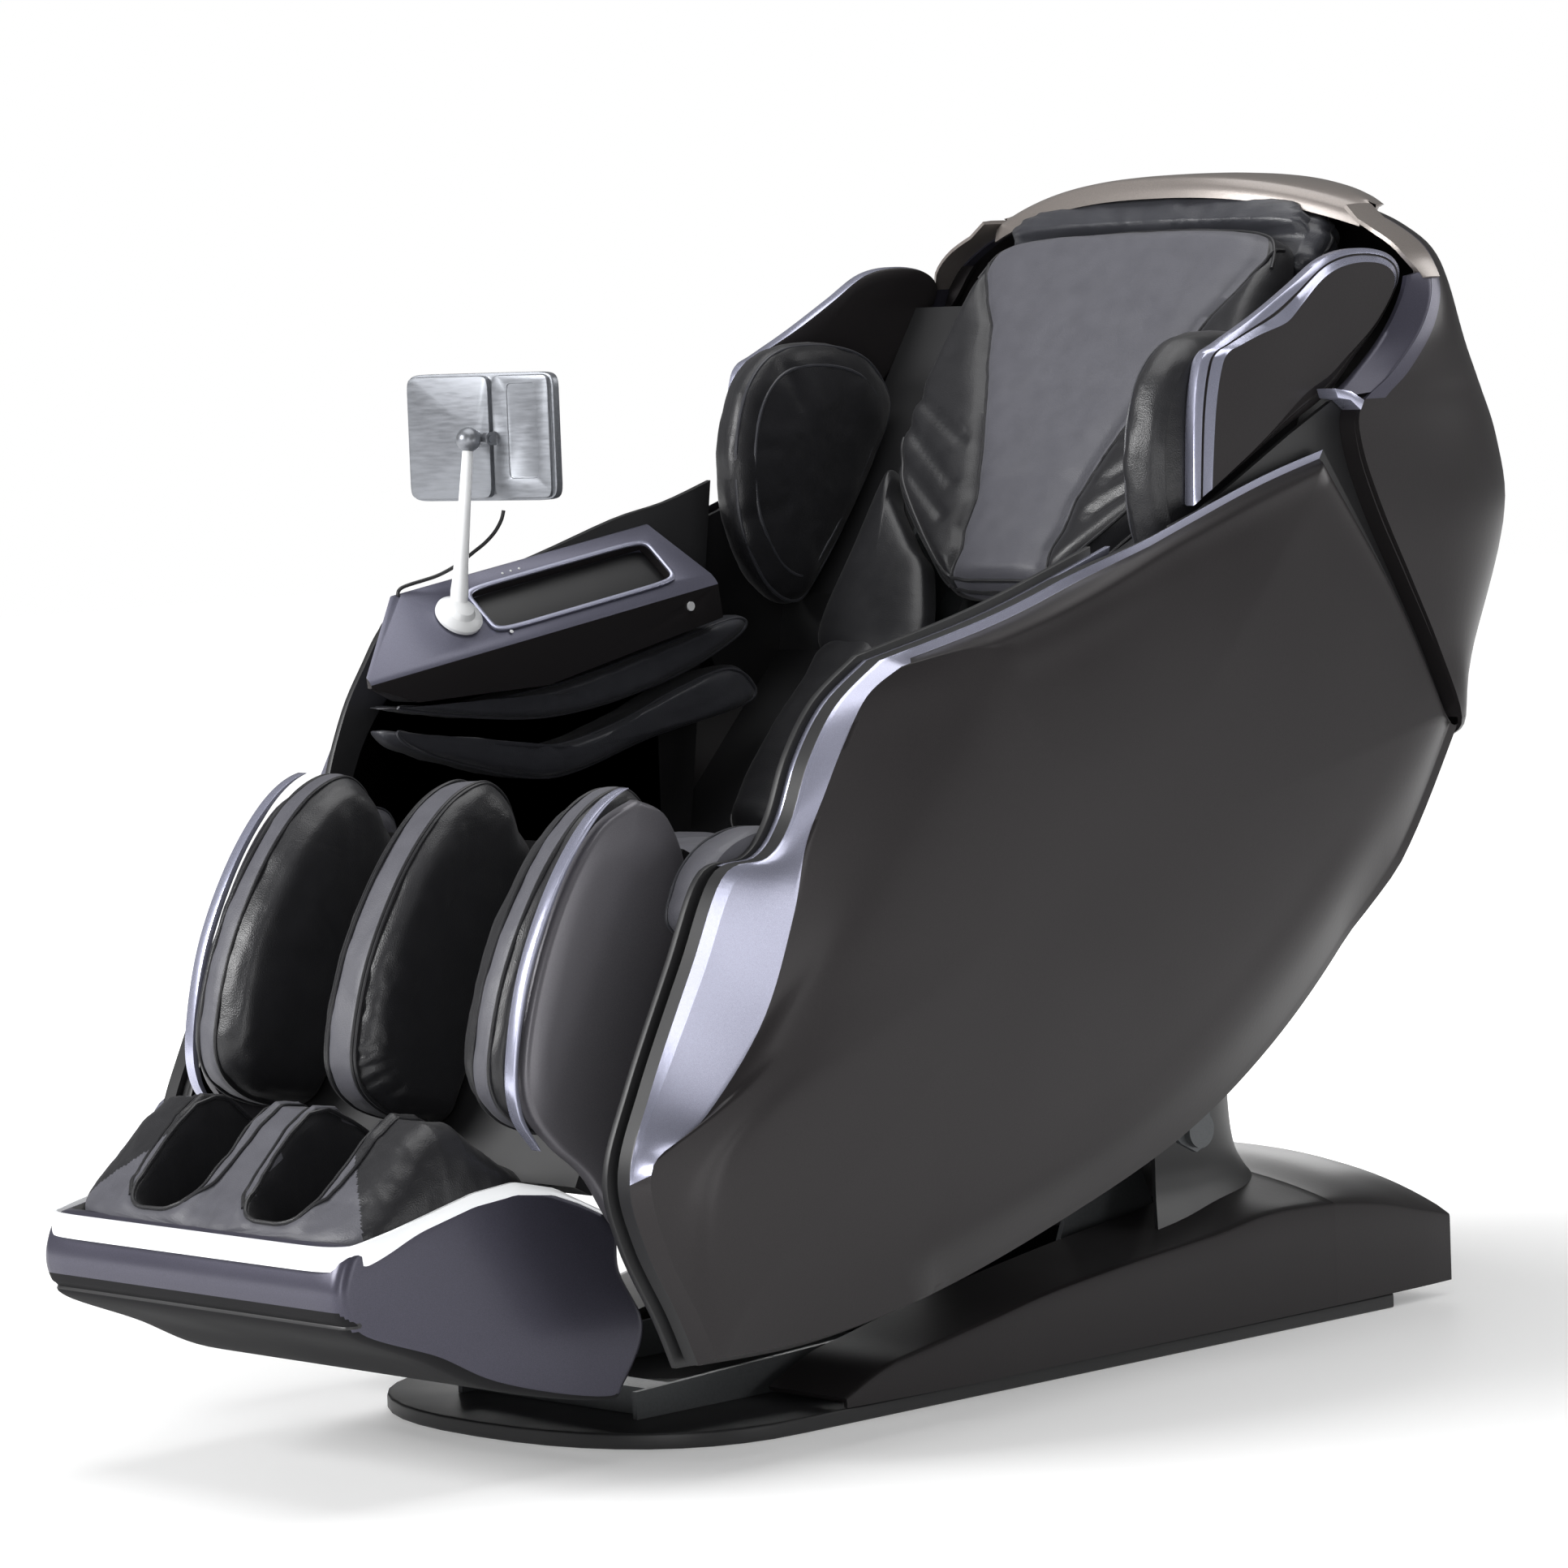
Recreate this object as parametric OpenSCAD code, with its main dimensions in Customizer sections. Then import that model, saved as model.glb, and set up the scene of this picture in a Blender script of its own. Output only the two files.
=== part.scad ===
// Reclining massage chair, modelled in its resting pose. Millimetres, +Z up.
// The front faces -Y, the sitter's left is +X, and the floor is Z = 0.

/* [Side panels] */
// Half of the width over the two side panels at their fullest point
half_width = 395; // [385:1:405]
// Wall of the moulded side panels
panel_wall = 5; // [3:0.5:6]
// How far the panel's front bevel falls in from the fullest point
bevel_drop = 21; // [17:1:23]
// How far the panel's outer edge falls in from the fullest point
edge_drop = 43; // [38:1:46]
// Depth of the return lip behind the panel's edge
lip_depth = 17; // [12:1:20]
// Width of the bright rim that follows the panel's edge
rim_width = 7; // [5:0.5:9]
// Thickness of the black inner wall of each side
liner_wall = 15; // [11:1:18]

/* [Backrest] */
// Wall of the rear shell, the lower shell and the hood
shell_wall = 5; // [4:0.5:6]
// Gap between the backrest's side walls and the side panels they swing inside
swing_gap = 9; // [7:0.5:11]
// Thickness of the black side walls and bulkhead of the backrest
back_wall = 6; // [5:0.5:8]
// Thickness of the moulded wings beside the head
wing_thick = 26; // [20:1:30]
// Thickness of the shoulder air pads
wing_pad_thick = 62; // [50:1:70]
// Thickness of the lower back pad
back_pad_thick = 55; // [45:1:60]
// Thickness of the head and shoulder pad
head_pad_thick = 45; // [38:1:50]
// Half width of the lower back pad
back_pad_half = 248; // [238:1:250]
// Half width of the head and shoulder pad at its widest
head_pad_half = 236; // [226:1:240]

/* [Frames and shafts] */
// Thickness of the steel side plates and brackets
plate = 6; // [5:0.5:8]
// Radius of the shaft that the whole seat tilts on
tilt_shaft_r = 12; // [10:0.5:14]
// Radius of the shaft that the backrest reclines on
recline_shaft_r = 12; // [10:0.5:14]
// Radius of the shaft that the leg rest lifts on
leg_shaft_r = 10; // [8:0.5:12]
// Radial clearance of a bush on its shaft
bush_gap = 0.06; // [0.03:0.01:0.1]
// Wall of the bush tubes on the shafts
bush_wall = 7; // [5:0.5:9]
// Radius of an actuator's push rod
rod_r = 9; // [7:0.5:10]
// Radius of the cross pin at the end of a push rod
pin_r = 6; // [5:0.5:7]
// Free play of a cross pin in its slotted lever, on each side
slot_play = 1.9; // [1.8:0.1:2.6]

/* [Massage mechanism] */
// Half width of the carriage between its rails
carriage_half = 150; // [135:1:160]
// Length of the carriage along its rails
carriage_len = 130; // [110:1:150]
// Running gap between the carriage's slides and the rails
rail_gap = 0.5; // [0.4:0.1:1]
// Radius of a massage roller
roller_r = 26; // [22:1:28]
// Width of a massage roller
roller_w = 34; // [28:1:38]
// Sideways distance of each kneading arm from the middle
arm_x = 58; // [50:1:66]

/* [Seat and armrests] */
// Half width of the seat cushion
seat_half = 238; // [225:1:245]
// Thickness of the seat cushion
seat_thick = 58; // [48:1:64]
// Depth of the tray sunk into each armrest
tray_depth = 14; // [8:1:18]
// Thickness of the upper arm massage pad
arm_pad_thick = 34; // [26:1:38]
// Height of the slot that the forearm goes into
arm_slot = 30; // [26:1:36]

/* [Leg rest and foot rest] */
// Half width over the leg rest's side covers
leg_half = 250; // [240:1:256]
// Thickness of the leg rest's side covers
cover_thick = 16; // [12:1:20]
// Half width of the centre leg pad
centre_pad_half = 43; // [36:1:48]
// Width of each outer leg pad
outer_pad_w = 80; // [72:1:90]
// Wall of the foot rest housing
foot_wall = 6; // [4:0.5:8]
// Half width of the foot rest housing
foot_half = 226; // [218:1:234]
// Height of the light strip round the foot rest
strip_h = 22; // [16:1:26]
// Radius of the foot rest's guide rods
guide_r = 9; // [7:0.5:10]

/* [Base] */
// Half width of the base cover
base_half = 275; // [262:1:285]
// Thickness of the black floor plate
pan_thick = 16; // [12:1:20]
// Wall of the base cover
base_wall = 5; // [4:0.5:7]
// Radius of the transport wheels
wheel_r = 30; // [25:1:33]
// Width of the transport wheels
wheel_w = 22; // [18:1:26]
// Clearance of the transport wheels over the floor
wheel_lift = 3; // [2:0.5:5]

/* [Tablet] */
// Width of the tablet
tablet_w = 205; // [190:1:215]
// Height of the tablet
tablet_h = 134; // [124:1:142]
// Thickness of the tablet
tablet_t = 16; // [12:1:20]
// Height of the ball joint above the armrest flange
post_h = 184; // [170:1:200]
// Radius of the ball joint
ball_r = 13; // [11:0.5:14]
// Diameter of the tablet's cable
cable_d = 4; // [3:0.5:5]

/* [Hidden] */

// Gap between a soft or hard piece and the piece it is seated on
seat_gap = 0.3;
// Overlap that welds two pieces of one solid
weld = 1;

// Pivots and actuator lines, as [Y, Z]
tilt_axis = [330, 230];
recline_axis = [200, 350];
leg_axis = [-350, 520];
tilt_swing = 10;
recline_swing = 28;
leg_swing = 55;
// Reach of each slotted lever, measured square to its push rod's line
tilt_reach = 350;
recline_reach = 105;
leg_reach = 85;

// ---------- curves and skins ----------
function mix(a, b, t) = a + (b - a) * t;
function smooth_at(a, b, c, d, t) =
  0.5 * (2 * b + (c - a) * t + (2 * a - 5 * b + 4 * c - d) * t * t
         + (3 * b - a - 3 * c + d) * t * t * t);
// n points of a smooth curve through pts; the last point is left to the next curve
function curve(pts, n) = [for (i = [0 : n - 1])
  let (u = i * (len(pts) - 1) / n, k = floor(u), last = len(pts) - 1)
  smooth_at(pts[max(k - 1, 0)], pts[k], pts[k + 1], pts[min(k + 2, last)], u - k)];
// the same, with the last point kept
function whole_curve(pts, n) = concat(curve(pts, n - 1), [pts[len(pts) - 1]]);
// smooth closed loop through pts
function closed_curve(pts, n) = [for (i = [0 : n - 1])
  let (c = len(pts), u = i * c / n, k = floor(u))
  smooth_at(pts[(k + c - 1) % c], pts[k], pts[(k + 1) % c], pts[(k + 2) % c], u - k)];
function flat(lists) = [for (a = lists) for (b = a) b];
function total(v, i = 0) = i == len(v) ? 0 * v[0] : v[i] + total(v, i + 1);
function centre(v) = total(v) / len(v);
function shrink(pts, c, f) = [for (p = pts) mix(c, p, f)];
function at_x(pts, x) = [for (p = pts) [x, p[0], p[1]]];
function mirrored(pts) = [for (i = [len(pts) - 1 : -1 : 0]) [-pts[i][0], pts[i][1]]];
function power(v, e) = v < 0 ? -pow(-v, e) : pow(v, e);
// rounded-rectangle loop of half sizes a and b, squarer as e grows
function squircle(a, b, e, n) = [for (i = [0 : n - 1])
  let (w = 360 * i / n) [a * power(cos(w), 2 / e), b * power(sin(w), 2 / e)]];

function side_faces(m, n, wrap) = [for (j = [0 : m - (wrap ? 1 : 2)]) for (i = [0 : n - 1])
  let (a = j * n + i, b = j * n + (i + 1) % n, c = ((j + 1) % m) * n + i,
       d = ((j + 1) % m) * n + (i + 1) % n)
  each [[a, b, d], [a, d, c]]];
function fan(start, n, hub, flip) = [for (i = [0 : n - 1])
  flip ? [hub, start + (i + 1) % n, start + i] : [hub, start + i, start + (i + 1) % n]];
function strip(start, n, flip) = [for (i = [0 : n / 2 - 2])
  let (a = start + i, b = a + 1, c = start + n - 2 - i, d = c + 1)
  each flip ? [[a, b, c], [a, c, d]] : [[a, c, b], [a, d, c]]];
function volume6(pts, faces) = total([for (f = faces) pts[f[0]] * cross(pts[f[1]], pts[f[2]])]);
function turned(faces) = [for (f = faces) [f[2], f[1], f[0]]];

// Closed surface over rings of equal length. Ends are closed by a fan, or by a strip
// where a ring runs out along one wall and back along the other.
module skin(rings, ends = "fan") {
  n = len(rings[0]);
  m = len(rings);
  pts = concat(flat(rings), ends == "fan" ? [centre(rings[0]), centre(rings[m - 1])] : []);
  caps = ends == "fan" ? concat(fan(0, n, m * n, true), fan((m - 1) * n, n, m * n + 1, false))
    : ends == "strip" ? concat(strip(0, n, false), strip((m - 1) * n, n, true)) : [];
  faces = concat(side_faces(m, n, ends == "ring"), caps);
  polyhedron(pts, volume6(pts, faces) > 0 ? turned(faces) : faces, convexity = 6);
}

// Flat plate whose outline is given as [Y, Z], between x0 and x1
module side_plate(x0, x1, outline) {
  translate([x0, 0, 0]) rotate([90, 0, 90]) linear_extrude(x1 - x0) polygon(outline);
}
module cross_rod(r, x0, x1, at) {
  translate([x0, at[0], at[1]]) rotate([0, 90, 0]) cylinder(r = r, h = x1 - x0, $fn = 48);
}
module left_and_right() {
  children();
  mirror([1, 0, 0]) children();
}
module on_side(right) {
  mirror([right ? 1 : 0, 0, 0]) children();
}
// Box from its low corner to its high corner
module block(low, high) {
  translate(low) cube(high - low);
}
// Frame whose Y runs up a plane that leans back, and whose Z faces the sitter
module leaning(at, angle) {
  translate([0, at[0], at[1]]) rotate([angle, 0, 0]) children();
}

low_steps = [[0.93, 0], [0.985, 0.14], [1, 0.36], [0.985, 0.62], [0.93, 0.84], [0.78, 0.97],
             [0.5, 1]];
high_steps = [[0.86, 0], [0.95, 0.2], [0.99, 0.45], [1, 0.68], [0.95, 0.88], [0.8, 0.98],
              [0.5, 1]];
// Crowned cushion over a flat outline: drawn in at the back, fullest at a third of its depth
module cushion(outline, thick, crown, c = undef, steps = low_steps) {
  mid = is_undef(c) ? centre(outline) : c;
  skin([for (s = steps)
    let (rise = thick * s[1] + crown * (s[1] < 0.8 ? 0 : s[0] < 0.6 ? 1 : s[0] < 0.8 ? 0.7 : 0.2))
    [for (p = shrink(outline, mid, s[0])) [p[0], p[1], rise]]]);
}

// ---------- side panels ----------
// Outline of a side panel, as [Y, Z], in four runs
panel_bottom = [[-478, 110], [-330, 110], [-160, 134], [20, 180], [200, 240], [332, 310],
                [450, 400], [560, 513], [644, 634]];
panel_seam = [[644, 634], [624, 648], [556, 768], [440, 935]];
panel_top = [[440, 935], [330, 908], [150, 852], [-30, 797], [-202, 760]];
panel_front = [[-202, 760], [-262, 722], [-302, 672], [-330, 614], [-362, 583], [-420, 571],
               [-466, 489], [-524, 380], [-556, 300], [-540, 232], [-500, 158], [-478, 110]];
// Line where the bright front bevel meets the broad face
bevel_front = [[-194, 754], [-240, 727], [-272, 682], [-296, 640], [-326, 590], [-360, 528],
               [-424, 428], [-500, 352], [-548, 312], [-534, 234], [-496, 164], [-474, 118]];
bevel_bottom = [[-474, 118], [-330, 119], [-160, 143], [20, 189], [196, 249], [326, 319],
                [442, 408], [551, 520], [632, 636]];
bevel_seam = [[632, 636], [616, 654], [550, 766], [434, 926]];
bevel_top = [[434, 926], [326, 899], [148, 843], [-28, 789], [-194, 754]];
// Line where the broad face turns in to its front facet and its lower bevel
crease_front = [[-87, 764], [-118, 735], [-147, 700], [-186, 658], [-225, 610], [-268, 552],
                [-308, 492], [-350, 425], [-400, 372], [-462, 312], [-478, 244], [-440, 172]];
crease_bottom = [[-440, 172], [-330, 176], [-190, 190], [-9, 234], [130, 282], [262, 352],
                 [400, 452], [520, 565], [590, 644]];
crease_seam = [[590, 644], [572, 690], [512, 790], [418, 908]];
crease_top = [[418, 908], [310, 876], [160, 832], [20, 790], [-87, 764]];

function panel_loop(b, s, t, f) =
  concat(curve(b, 14), curve(s, 5), curve(t, 8), curve(f, 19));
panel_edge_loop = panel_loop(panel_bottom, panel_seam, panel_top, panel_front);
panel_bevel_loop = panel_loop(bevel_bottom, bevel_seam, bevel_top, bevel_front);
panel_crease_loop = panel_loop(crease_bottom, crease_seam, crease_top, crease_front);
panel_middle = [70, 540];
thin_edge_x = half_width - 25;
edge_x = half_width - edge_drop;
lip_x = edge_x - lip_depth;
// The edge stays thin where the backrest swings inside the panel
function thinning(p) = min(1, max(0, (p[0] * 0.7 + p[1] * 0.72 - 640) / 90));
function edge_at(p, x) = mix(x, thin_edge_x, thinning(p));
// how far the lip stands in from the edge where the edge is thin
thin_lip = 2;
function panel_ring(loop, x) = [for (p = loop) [edge_at(p, x), p[0], p[1]]];

module side_panel(right) {
  bevel_x = half_width - bevel_drop;
  crease_x = half_width - 8;
  inner = shrink(panel_edge_loop, panel_middle, 0.985);
  on_side(right) skin([
    at_x(shrink(panel_crease_loop, panel_middle, 0.45), half_width),
    at_x(shrink(panel_crease_loop, panel_middle, 0.8), half_width - 2.5),
    at_x(panel_crease_loop, crease_x),
    [for (p = panel_bevel_loop) [max(edge_at(p, edge_x + 5),
      p[0] < -180 ? bevel_x : edge_x + 5), p[0], p[1]]],
    panel_ring(panel_edge_loop, edge_x),
    [for (p = panel_edge_loop) [edge_at(p, lip_x) - thin_lip * thinning(p), p[0], p[1]]],
    [for (p = inner) [edge_at(p, lip_x) - thin_lip * thinning(p), p[0], p[1]]],
    [for (p = shrink(panel_bevel_loop, panel_middle, 0.98))
      [edge_at(p, edge_x + 5) - 1, p[0], p[1]]],
    at_x(shrink(panel_crease_loop, panel_middle, 0.97), crease_x - panel_wall),
    at_x(shrink(panel_crease_loop, panel_middle, 0.5), half_width - 2.5 - panel_wall)]);
}

function inset(pts, c, d) = [for (p = pts) p + (c - p) * d / norm(c - p)];
// Bar of rectangular section between x0 and x1 that follows a line in the [Y, Z] plane
module edge_bar(line, c, x0, x1, low, high) {
  outer = inset(line, c, low);
  inner = inset(line, c, high);
  skin([for (i = [0 : len(line) - 1])
    [[x0, outer[i][0], outer[i][1]], [x1, outer[i][0], outer[i][1]],
     [x1, inner[i][0], inner[i][1]], [x0, inner[i][0], inner[i][1]]]]);
}

liner_x = lip_x - seat_gap;
liner_end = 150;
module panel_rims() {
  line = concat(curve([[150, 852], [-30, 797], [-202, 760]], 4), whole_curve(panel_front, 20));
  left_and_right() edge_bar(line, panel_middle, liner_x - rim_width, liner_x, 1, rim_width + 2);
}

liner_line = [for (p = panel_edge_loop) if (p[0] < liner_end) p];
// The right wall stands up behind its armrest, as a backing for the tablet's side
tall_wall = [[150, 897], [77, 883], [-30, 853], [-135, 826], [-235, 802], [-262, 782],
             [-285, 750], [-310, 712], [-330, 668], [-342, 634]];
liner_rise = 7;
low_run = [for (p = liner_line) if (p[1] < 400 && p[0] > -470) p];
front_run = [for (p = inset(liner_line, panel_middle, rim_width + 2))
  if (p[1] > 130 && p[1] < 612 && p[0] < -300) p];
tall_line = concat(low_run, tall_wall, front_run);
module inner_liner(right) {
  on_side(right) {
    side_plate(liner_x - liner_wall, liner_x, inset(liner_line, panel_middle,
      rim_width + 2 + seat_gap));
    side_plate(liner_x - liner_wall, liner_x - rim_width - seat_gap, right ? tall_line
      : inset(liner_line, panel_middle, -liner_rise));
  }
}

// ---------- armrests ----------
arm_slope = 8.6;
arm_lean = 45;
arm_foot = [-338, 738];
// The left armrest is shorter and sits below its panel's edge
left_slope = 16;
left_lean = 20;
left_foot = [-150, 698];
left_len = 330;
arm_in = 250;
arm_out = liner_x - liner_wall - seat_gap;
arm_len = 500;
arm_edge = 36;
arm_belly = 62;
// Frame that lies on the right armrest's sloping top, from its inner front corner
module arm_top() {
  translate([arm_in, arm_foot[0], arm_foot[1]]) rotate([arm_slope, 0, 0])
    rotate([0, -arm_lean, 0]) children();
}
// Armrest in its own frame, with its top rising outwards by rise
module armrest_body(rise, len, side, front_run) {
  intersection() {
    translate([0, len, 0]) rotate([90, 0, 0]) linear_extrude(len)
      polygon([[arm_in, -arm_belly], [arm_in, -5], [arm_in + 3, 0], [arm_out - 3, rise],
               [arm_out, rise], [arm_out, -arm_belly]]);
    side_plate(arm_in - 1, arm_out + 1, side);
    // the front end runs back towards the outside
    translate([0, 0, -100]) linear_extrude(250) polygon([[arm_in - 1, 0], [arm_in + 6, 0],
      [arm_out + 1, front_run], [arm_out + 1, len + 1], [arm_in - 1, len + 1]]);
  }
}
module armrest(right) {
  across = arm_out - arm_in - 3;
  if (right) mirror([1, 0, 0]) difference() {
    translate([0, arm_foot[0], arm_foot[1]]) rotate([arm_slope, 0, 0])
      armrest_body(across, arm_len, [[0, -8], [60, -arm_edge], [240, -arm_belly + 4],
        [arm_len, -arm_edge - 6], [arm_len, 6], [arm_len - 40, 90], [0, 90]], 105);
    arm_top() block([16, 190, -tray_depth], [74, 450, 60]);
    translate(cable_exit) cylinder(r = cable_d / 2 + seat_gap, h = 12, $fn = 24);
    translate([0, arm_foot[0], arm_foot[1]]) rotate([arm_slope, 0, 0])
      translate([arm_in - 1, key_y, key_z]) rotate([0, 90, 0])
        cylinder(r = key_r + key_gap, h = key_depth + 1, $fn = 48);
  } else difference() {
    translate([0, left_foot[0], left_foot[1]]) rotate([left_slope, 0, 0])
      armrest_body(across * tan(left_lean), left_len, [[0, -10], [40, -arm_edge],
        [left_len, -arm_edge], [left_len, 6], [left_len - 30, 60], [0, 60]], 40);
    translate([arm_in, left_foot[0], left_foot[1]]) rotate([left_slope, 0, 0])
      rotate([0, -left_lean, 0]) block([14, 60, -tray_depth], [60, 280, 40]);
  }
}
arm_pad_line = [[-290, 706], [-200, 701], [-48, 716], [106, 748], [212, 770], [226, 756],
                [150, 722], [63, 699], [-20, 685], [-101, 681], [-200, 690], [-268, 700]];
arm_cuff_line = [[-292, 682], [-240, 668], [-150, 656], [-60, 650], [30, 668], [120, 698],
                 [200, 716], [238, 700], [230, 676], [84, 650], [-35, 620], [-104, 618],
                 [-194, 638], [-270, 662]];
// Place on the left side of a point of the right side's arm pads
function on_left(p) = [p[0] * 0.72 + 38, p[1] - 33.5 + (p[0] + 290) * 0.02];
module arm_cushion(line, right, thick, c) {
  side_line = [for (p = concat([c], line)) right ? p : on_left(p)];
  translate([arm_out - seat_gap, 0, 0]) rotate([90, 0, -90]) mirror([1, 0, 0])
    cushion(closed_curve([for (i = [1 : len(line)]) side_line[i]], 28), thick, 3, side_line[0]);
}
module arm_pad(right) {
  on_side(right) arm_cushion(arm_pad_line, right, arm_pad_thick + 22, [-40, 706]);
}
module arm_cuff(right) {
  on_side(right) arm_cushion(arm_cuff_line, right, arm_pad_thick + 18, [-30, 645]);
}
arm_front_line = [[-430, 520], [-424, 552], [-404, 580], [-372, 600], [-330, 608], [-296, 600],
                  [-284, 570], [-292, 530], [-330, 500], [-390, 496]];
module arm_front_pads() {
  left_and_right() translate([arm_out, 0, 0]) rotate([90, 0, -90]) mirror([1, 0, 0])
    cushion(closed_curve(arm_front_line, 24), 50, 4);
}

// ---------- seat ----------
frame_x = 256;
tube = 25;
// Slotted lever of an actuator: turns about axis_at, its pin rests at pin_at
function lever_pin(axis_at, reach, swing, along, square_off) =
  axis_at + square_off * reach + along * reach * tan(swing / 2);
tilt_pin = lever_pin(tilt_axis, tilt_reach, tilt_swing, [0, -1], [-1, 0]);
recline_pin = lever_pin(recline_axis, recline_reach, recline_swing, [1, 0], [0, -1]);
leg_pin = lever_pin(leg_axis, leg_reach, leg_swing, [1, 0], [0, -1]);
tilt_rod_x = -80;
recline_rod_x = 60;
leg_rod_x = 0;
lever_half = plate;
yoke_in = lever_half + 2;
yoke_out = yoke_in + 5;

// Slot in a lever, open through x0..x1, between two radii from its axis towards the pin
module lever_slot(axis_at, pin_at, near, far, x) {
  away = (pin_at - axis_at) / norm(pin_at - axis_at);
  r = pin_r + slot_play;
  translate([x - 20, axis_at[0], axis_at[1]])
    rotate([90, 0, 90]) rotate([0, 0, atan2(away[1], away[0])]) linear_extrude(40) {
      translate([near, -r]) square([far - near, 2 * r]);
      translate([near, 0]) circle(r, $fn = 48);
      translate([far, 0]) circle(r, $fn = 48);
    }
}
// Push rod whose yoke and pin stand at pin_at; it runs back along the direction away
module push_rod(pin_at, x, angle, len) {
  translate([x, pin_at[0], pin_at[1]]) rotate([angle, 0, 0]) {
    translate([0, 0, -len]) cylinder(r = rod_r, h = len - 22, $fn = 48);
    block([-yoke_out, -rod_r, -26], [yoke_out, rod_r, -19]);
    for (s = [-1, 1]) block([min(s * yoke_in, s * yoke_out), -rod_r, -20],
                            [max(s * yoke_in, s * yoke_out), rod_r, rod_r]);
    translate([-yoke_out, 0, 0]) rotate([0, 90, 0]) cylinder(r = pin_r, h = 2 * yoke_out, $fn = 48);
  }
}
// Motor, gearbox and tube of a push rod; the tube's mouth is at mouth behind the pin
module actuator(pin_at, x, angle, mouth, len) {
  translate([x, pin_at[0], pin_at[1]]) rotate([angle, 0, 0]) {
    difference() {
      union() {
        translate([0, 0, -mouth - len]) cylinder(r = rod_r + 9, h = len, $fn = 48);
        block([-24, -24, -mouth - len - 34], [24, 40, -mouth - len + 14]);
        translate([0, 26, -mouth - len + 10]) cylinder(r = 19, h = len * 0.55, $fn = 48);
      }
      translate([0, 0, -mouth - len]) cylinder(r = rod_r + bush_gap, h = len + 1, $fn = 48);
    }
  }
}

seat_side = [[-368, 500], [-368, 536], [-350, 548], [-330, 536], [-318, 490], [150, 490],
             [215, 385], [226, 350], [300, 300], [352, 246], [352, 216], [330, 206], [306, 218],
             [250, 270], [195, 322], [165, 350], [120, 440], [-330, 440]];
module seat_frame() {
  difference() {
    left_and_right() side_plate(frame_x, frame_x + plate, seat_side);
    cross_rod(tilt_shaft_r + bush_gap, -400, 400, tilt_axis);
  }
  left_and_right() {
    block([frame_x + plate - weld, -310, 448], [frame_x + tube, 118, 488]);
    difference() {
      cross_rod(tilt_shaft_r + bush_wall, frame_x, frame_x + plate + 8, tilt_axis);
      cross_rod(tilt_shaft_r + bush_gap, -400, 400, tilt_axis);
    }
  }
  cross_rod(recline_shaft_r, -frame_x - plate, frame_x + plate, recline_axis);
  cross_rod(leg_shaft_r, -frame_x - plate, frame_x + plate, leg_axis);
  for (y = [-270, -35]) block([-arm_out, y, 455], [arm_out, y + 30, 490]);
  // lugs that carry the lower shell
  left_and_right() block([frame_x + plate - weld, 232, 292],
    [lip_x - shell_wall - 8 * seat_gap, 244, 326]);
  // lever that the tilt actuator lifts
  difference() {
    side_plate(tilt_rod_x - lever_half, tilt_rod_x + lever_half,
      [[-45, 186], [5, 186], [5, 460], [-30, 460], [-45, 260]]);
    lever_slot(tilt_axis, tilt_pin, tilt_reach - 2.5, tilt_reach / cos(tilt_swing / 2) + 2.5,
      tilt_rod_x);
  }
  // hangers of the two actuators under the seat
  block([recline_rod_x - 12, -30, 269 + seat_gap], [recline_rod_x + 12, -8, 460]);
  block([recline_rod_x - 12, -30, 269 + seat_gap], [recline_rod_x + 12, 50, 281]);
  block([leg_rod_x - 20, -51.8 + seat_gap, 424], [leg_rod_x + 20, -30, 470]);
}
cushion_bottom = 490.3;
module seat_cushion() {
  outline = [for (p = squircle(seat_half, 170, 4.5, 36)) [p[0], p[1] - 98]];
  difference() {
    translate([0, 0, cushion_bottom]) cushion(outline, seat_thick, 9);
    for (s = [-1, 1]) translate([s * 120, -98, cushion_bottom + seat_thick + 12]) rotate([90, 0, 0])
      cylinder(r = 8, h = 260, center = true, $fn = 16);
  }
}

// Wall that runs round the back from one side to the other, open to the front
function round_back(w, y0, y1, e, n) = [for (i = [0 : n - 1])
  let (a = 180 * i / (n - 1)) [w * power(cos(a), 2 / e), y0 + (y1 - y0) * power(sin(a), 2 / e)]];
function wall_ring(s, e, wall, n) =
  let (out = round_back(s[3], s[1], s[2], e, n),
       inn = round_back(s[3] - wall, s[1], s[2] - wall, e, n))
  [for (p = concat(out, [for (i = [n - 1 : -1 : 0]) inn[i]])) [p[0], p[1], s[0]]];

// Height, front edge, rear edge and half width of the lower shell
lower_levels = [[288, 190, 452, 0], [330, 196, 520, 0], [390, 212, 600, 0], [450, 240, 662, 0],
                [520, 320, 712, 0], [550, 370, 729, 0]];
module lower_shell() {
  w = lip_x - seat_gap;
  skin([for (s = lower_levels) wall_ring([s[0], s[1], s[2], w], 3, shell_wall, 23)], "strip");
}

// ---------- backrest ----------
back_at = [145, 514];
back_angle = 46.5;
back_len = 300;
head_at = [350, 778];
head_angle = 56.6;
head_len = 455;
rail_at = [230, 480];
rail_angle = 52;
rail_len = 650;
side_x = 185;
function up_plane(at, angle, y, z) =
  at + y * [cos(angle), sin(angle)] + z * [-sin(angle), cos(angle)];
wall_out = thin_edge_x - 2 - swing_gap;
wall_in = wall_out - back_wall;

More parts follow.
